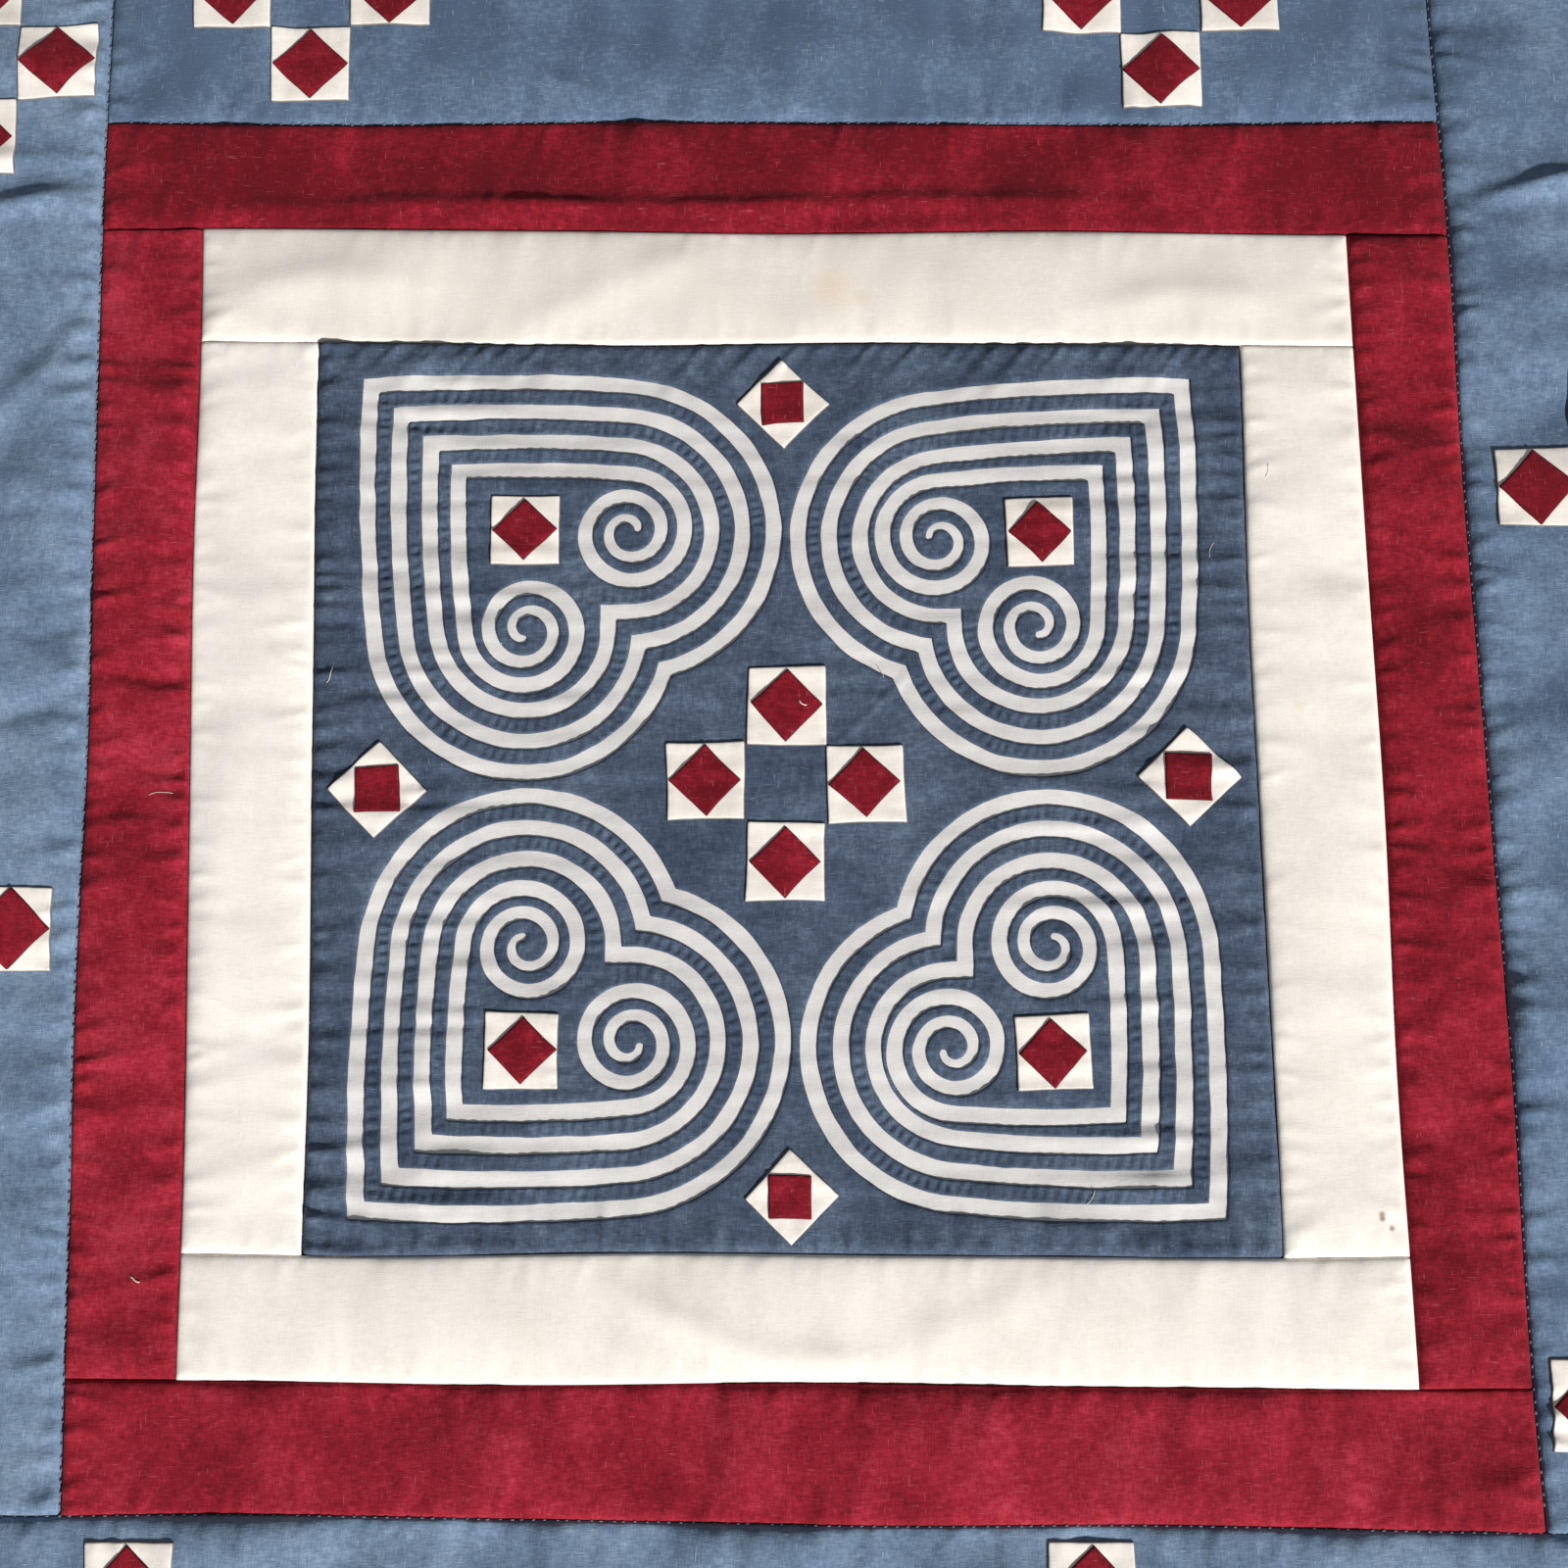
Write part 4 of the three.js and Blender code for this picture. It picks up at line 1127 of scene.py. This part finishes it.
SEAM_THREAD = thread_finish("seam_thread", (66, 72, 88), (128, 134, 146))
PALE_LINT = thread_finish("pale_lint", (214, 196, 176), (248, 236, 220))


def cloth_piece(name, body, slot, tone=0.0):
    """A piece of cloth that stands for the node of its name."""
    points, faces, rim = body
    piece = piece_of(name + "_cloth", points, faces, COTTONS[slot], rim, tone)
    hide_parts(name)
    return piece


# The strips

def strip_under(x, y, depth):
    """The underside of a strip: on the table, and a little above it along the seams."""
    return STRIP_EDGE_HEIGHT * np.exp(-depth / STRIP_UNDER_REACH)


def make_strips():
    for name, (sides, cut, tone) in STRIPS.items():
        cloth = name.split("_")[0]
        step = BLUE_STRIP_STEP if cloth == "blue" else STRIP_STEP

        def top(x, y, depth, walk):
            return strip_height(name, x, y)

        outline = field_outline(sides, OUTLINE_STEP)
        points, faces, rim = sheet_mesh(
            [outline], step, STRIP_BACK_STEP, top, strip_under, len(name)
        )
        body = (points, faces, CLOTH_RIM_SHADE[cloth] * rim)
        cloth_piece(name, body, STRIP_SLOTS[cloth], tone=tone)


# The panel

def ring_dents(x, y, rim, depth, seed):
    """Creases that cross a narrow ring, drawn in by the stitches on its edges."""
    away, along = rim.depth_and_walk(np.stack([x, y], axis=1))
    phase = along / EDGE_STITCH + 0.5 * wander(along, 11, seed)
    crease = (0.5 + 0.5 * np.cos(2 * math.pi * phase)) ** 1.5
    strength = np.clip(0.75 + 0.7 * wander(along, 8, seed + 1), 0.15, 1.0)
    narrow = 1 - ease((away - BAND_WIDTH) / 1.5)
    return RING_DENT * crease * strength * narrow * (1 - np.exp(-((depth / 0.8) ** 2)))


def blue_height(x, y, depth, walk, seed):
    """The slit blue cloth: turned under at its cut edges and a little thinner away from them."""
    seam = panel_depth(x, y)
    is_cut = depth < seam - SEAM_MARGIN
    full = BLUE_RISE - WHITE_RISE
    turned = np.where(is_cut, rounded(depth, full), full)
    flatter = FLAT_DIP * ease((depth - FLAT_START) / FLAT_REACH)
    dents = np.where(is_cut, stitch_dimples(walk, depth, CUT_EDGE_DENT, seed), 0)
    return panel_height(x, y) + turned - flatter - dents


def panel_shade_rims(body):
    """The panel's seams get the full painted rim shade, its cut edges less of it."""
    points, faces, rim = body
    seam = np.minimum.reduce(field_depths(PANEL, points[:, 0], points[:, 1]))
    return points, faces, rim * np.where(seam < SEAM_SHADE_WIDTH, 1.0, CUT_EDGE_SHADE)


def panel_under(x, y, depth):
    """The underside of the blue cloth, just inside the white one."""
    return panel_height(x, y) - UNDER_GAP


def make_ground():
    """The white cloth that shows through the slits."""
    def top(x, y, depth, walk):
        return panel_height(x, y) + 0.05 * hills(x, y, 3.5, 3.5, 44)

    def under(x, y, depth):
        return np.zeros(x.shape)

    outline = field_outline(PANEL, GROUND_EDGE_STEP, GROUND_ROOM)
    ground = sheet_mesh([outline], GROUND_STEP, STRIP_BACK_STEP, top, under, 3)
    cloth_piece("white_ground", ground, "white_cotton")


def make_blue_cloth():
    """The blue cloth over it: a field with four openings, and two rings and a core in each."""
    hearts = [
        [hand_cut(heart_loop(heart, depth), 10 * i + n, swing=0.16) for n, depth in enumerate(SLITS)]
        for i, heart in enumerate(HEARTS)
    ]
    for i, (heart, loops) in enumerate(zip(HEARTS, hearts)):
        spiral = hand_cut(spiral_loop(heart), 300 + i, swing=0.12)
        parts = (
            (f"blue_ring_1_{heart}", [loops[1], loops[2]]),
            (f"blue_ring_2_{heart}", [loops[3], loops[4]]),
            (f"blue_core_{heart}", [loops[5], spiral]),
        )
        for n, (name, rims) in enumerate(parts):
            seed = 600 + 10 * i + n
            outer = Edges([anticlockwise(rims[0])])

            def top(x, y, depth, walk):
                height = blue_height(x, y, depth, walk, seed)
                dents = ring_dents(x, y, outer, depth, seed)
                if name.startswith("blue_ring"):
                    return height - dents
                puckers = stitch_dimples(walk, depth, CORE_EDGE_DENT, seed, CORE_DENT_REACH)
                return height - CORE_DENT_SHARE * dents - puckers

            body = panel_shade_rims(sheet_mesh(rims, RING_STEP, PANEL_BACK_STEP, top, panel_under, seed))
            cloth_piece(name, body, "deep_blue_cotton")

    def field_top(x, y, depth, walk):
        return blue_height(x, y, depth, walk, 650)

    rims = [field_outline(PANEL, OUTLINE_STEP)] + [loops[0] for loops in hearts]
    body = panel_shade_rims(sheet_mesh(rims, FIELD_STEP, PANEL_BACK_STEP, field_top, panel_under, 9))
    cloth_piece(
        "blue_field", body, "deep_blue_cotton",
    )


# The sewn-on squares

def square_body(x, y, edge, turn, base, rise, seed):
    """A small square of cloth, turned under and sewn down by hand, on a base surface."""
    loop = hand_cut(square_loop(x, y, edge, turn, seed), seed, step=0.8, swing=0.1)

    def top(px, py, depth, walk):
        puff = 0.1 * hills(px, py, 6, 6, seed) * (1 - np.exp(-depth))
        seam_ridge = 0.12 * np.exp(-((depth - 1.8) / 1.6) ** 2)
        dents = stitch_dimples(walk, depth, SQUARE_EDGE_DENT, seed)
        edge_height = base(px, py) + 2 * UNDER_GAP + rounded(depth, rise, SQUARE_ROUND)
        return edge_height + puff + seam_ridge - dents

    def under(px, py, depth):
        return base(px, py) + UNDER_GAP

    points, faces, rim = sheet_mesh([loop], SQUARE_STEP, SQUARE_BACK_STEP, top, under, seed)
    # A stronger painted rim shade gives each square a dark outline.
    return points, faces, np.minimum(SQUARE_RIM_SHADE * rim, 1)


def make_panel_squares():
    places = {}
    for name, (*_, (x, y, edge, turn)) in HEARTS.items():
        places["heart_" + name] = (x, y, edge, turn, edge * PANEL_RED_SHARE, turn + 45)
    for name, (x, y, edge, turn, red_turn) in SIDE_SQUARES.items():
        places["side_" + name] = (x, y, edge, turn, edge * LEVEL_RED_SHARE, red_turn)
    for name, (x, y, edge, turn, red_turn) in CENTRE_SQUARES.items():
        places["centre_" + name] = (x, y, edge, turn, edge * PANEL_RED_SHARE, red_turn)

    def on_blue(px, py):
        return ground_height(px, py) + panel_relief(px, py) + BLUE_RISE - SQUARE_SINK

    def on_cream(px, py):
        return on_blue(px, py) + CREAM_RISE + SQUARE_LIFT

    for i, (name, (x, y, edge, turn, red_edge, red_turn)) in enumerate(places.items()):
        cream = square_body(x, y, edge, turn, on_blue, CREAM_RISE, 700 + i)
        cloth_piece(
            "cream_square_" + name, cream, "cream_cotton",
        )
        red = square_body(x, y, red_edge, red_turn, on_cream, RED_RISE, 730 + i)
        cloth_piece(
            "red_square_" + name, red, "red_cotton",
            tone=SQUARE_TONE,
        )


def make_border_crosses():
    for i, (name, (x, y, turn, strips)) in enumerate(BORDER_CROSSES.items()):
        angle = math.radians(turn)

        def on_border(px, py):
            heights = [strip_height(strip, px, py) for strip in strips]
            return np.maximum.reduce([*heights, np.full(px.shape, BRIDGE_HEIGHT)])

        def on_cream(px, py):
            return on_border(px, py) + CREAM_RISE + SQUARE_LIFT

        cream, red = [], []
        for n, (across, up) in enumerate(((1, 0), (0, 1), (-1, 0), (0, -1))):
            step_x = BORDER_SQUARE * (across * math.cos(angle) - up * math.sin(angle))
            step_y = BORDER_SQUARE * (across * math.sin(angle) + up * math.cos(angle))
            seed = 800 + 10 * i + n
            at = (x + step_x, y + step_y)
            cream.append(square_body(*at, BORDER_SQUARE, turn, on_border, CREAM_RISE, seed))
            lean = np.random.default_rng(seed).uniform(-3, 3)
            red_edge = BORDER_SQUARE * BORDER_RED_SHARE
            red.append(square_body(*at, red_edge, turn + 45 + lean, on_cream, RED_RISE, seed + 5))
        points, faces, rim = joined(red)
        squares = piece_of(f"red_squares_{name}", points, faces, COTTONS["red_cotton"], rim, SQUARE_TONE)
        across = round(3 * BORDER_SQUARE * MM, 4)
        cloth_piece(
            "cream_cross_" + name, joined(cream), "cream_cotton",
        )


# Stitches and stray threads

def one_stitch():
    """A small plump stitch, lying along X."""
    bpy.ops.mesh.primitive_uv_sphere_add(segments=6, ring_count=3, radius=1.0)
    stitch = bpy.context.object
    bpy.ops.object.mode_set(mode="EDIT")
    bpy.ops.mesh.select_all(action="SELECT")
    bpy.ops.transform.resize(value=STITCH_SIZE)
    bpy.ops.mesh.quads_convert_to_tris()
    bpy.ops.object.mode_set(mode="OBJECT")
    points = np.array([vertex.co for vertex in stitch.data.vertices])
    faces = np.array([face.vertices[:] for face in stitch.data.polygons])
    bpy.data.objects.remove(stitch)
    return points, faces


def make_seam_stitches():
    """Stitches that cross the seams, a little uneven in place and size."""
    points, faces = one_stitch()
    draw = np.random.default_rng(77)
    parts = []
    for name, (top, bottom, left, right) in STITCHED_SEAMS.items():
        upright = name.endswith(("Left", "Right"))
        first, last = (seam_at(side, 0.0) for side in ((bottom, top) if upright else (left, right)))
        for n in range(int((last - first - 4) / SEAM_STITCH)):
            place = first + 2 + (n + 0.5 + draw.uniform(-0.12, 0.12)) * SEAM_STITCH
            aside = float(seam_at(name, place)) + draw.uniform(-0.06, 0.06)
            turn = (math.pi / 2 if upright else 0.0) + draw.uniform(-0.25, 0.25)
            size = draw.uniform(0.75, 1.1)
            at = (aside, place) if upright else (place, aside)
            level = STITCH_HEIGHTS[SEAMS[name][0]]
            spin = np.array(Matrix.Rotation(turn, 3, "Z")) * size
            parts.append((points @ spin.T + (*at, level), faces, np.zeros(len(points))))
    piece_of("seam_stitches", *joined(parts)[:2], SEAM_THREAD)


def make_lint():
    """Stray ends of thread lying on the cloth."""
    draw = np.random.default_rng(15)
    parts = []
    for below, x, y, length, angle, bend, radius in LINT:
        share = np.linspace(-0.5, 0.5, LINT_POINTS)
        line = np.stack([share * length, bend * (share**2 - 0.25), np.zeros(LINT_POINTS)], axis=1)
        line += draw.uniform(-0.1, 0.1, line.shape) * (1, 1, 0)
        spin = np.array(Matrix.Rotation(math.radians(angle), 3, "Z"))
        line = line @ spin.T + (x, y, 0)
        if below in STRIPS:
            level = strip_height(below, line[:, 0], line[:, 1])
        else:
            level = ground_height(line[:, 0], line[:, 1]) + panel_relief(line[:, 0], line[:, 1])
            level += BLUE_RISE + (CREAM_RISE + RED_RISE if below == "square" else 0)
        line[:, 2] = level + radius
        sides = np.arange(4) * math.pi / 2
        ring = np.stack([np.zeros(4), np.cos(sides), np.sin(sides)], axis=1) @ spin.T * radius
        points = (line[:, None] + ring[None]).reshape(-1, 3)
        faces = []
        for i in range(LINT_POINTS - 1):
            for j in range(4):
                a, b = 4 * i + j, 4 * i + (j + 1) % 4
                faces += [(a, a + 4, b + 4), (a, b + 4, b)]
        end = 4 * (LINT_POINTS - 1)
        faces += [(0, 1, 2), (0, 2, 3), (end + 2, end + 1, end), (end + 3, end + 2, end)]
        parts.append((points, np.array(faces), np.zeros(len(points))))
    piece_of("stray_threads", *joined(parts)[:2], PALE_LINT)


# Light, floor and camera

def make_studio():
    bpy.ops.mesh.primitive_plane_add(size=40, location=(0, 0, FLOOR_LEVEL))
    floor = bpy.context.object
    floor.name = "floor"
    finish = Finish("pale_floor")
    grain = finish.noise((3, 3), 2.0)
    colour = finish.mixed(grain, linear(214, 213, 210), linear(222, 221, 218))
    floor.data.materials.append(finish.surface(colour, grain, 0.02, 0.9, 0.0))
    world = bpy.data.worlds.new("studio")
    world.use_nodes = True
    background = world.node_tree.nodes["Background"]
    background.inputs[0].default_value = SKY_COLOUR
    background.inputs[1].default_value = SKY_STRENGTH
    bpy.context.scene.world = world
    lamp = bpy.data.lights.new("key", "AREA")
    lamp.shape = "DISK"
    lamp.size = LAMP_SIZE
    lamp.energy = LAMP_POWER
    lamp.color = LAMP_COLOUR
    key = bpy.data.objects.new("key", lamp)
    key.location = LAMP_PLACE
    key.rotation_euler = (Vector(LAMP_TARGET) - key.location).to_track_quat("-Z", "Y").to_euler()
    bpy.context.scene.collection.objects.link(key)


def make_camera():
    """The photograph's own view: nearly straight down, tilted by nine degrees."""
    data = bpy.data.cameras.new("camera")
    data.sensor_width = 36
    data.lens = 45
    camera = bpy.data.objects.new("camera", data)
    matrix = Matrix(CAMERA_AXES).transposed().to_4x4()
    matrix.translation = Vector(CAMERA_PLACE) * MM
    camera.matrix_world = matrix
    bpy.context.scene.collection.objects.link(camera)
    bpy.context.scene.camera = camera
    bpy.context.scene.view_settings.view_transform = "Standard"


make_camera()
make_studio()
make_strips()
make_ground()
make_blue_cloth()
make_panel_squares()
make_border_crosses()
make_seam_stitches()
make_lint()
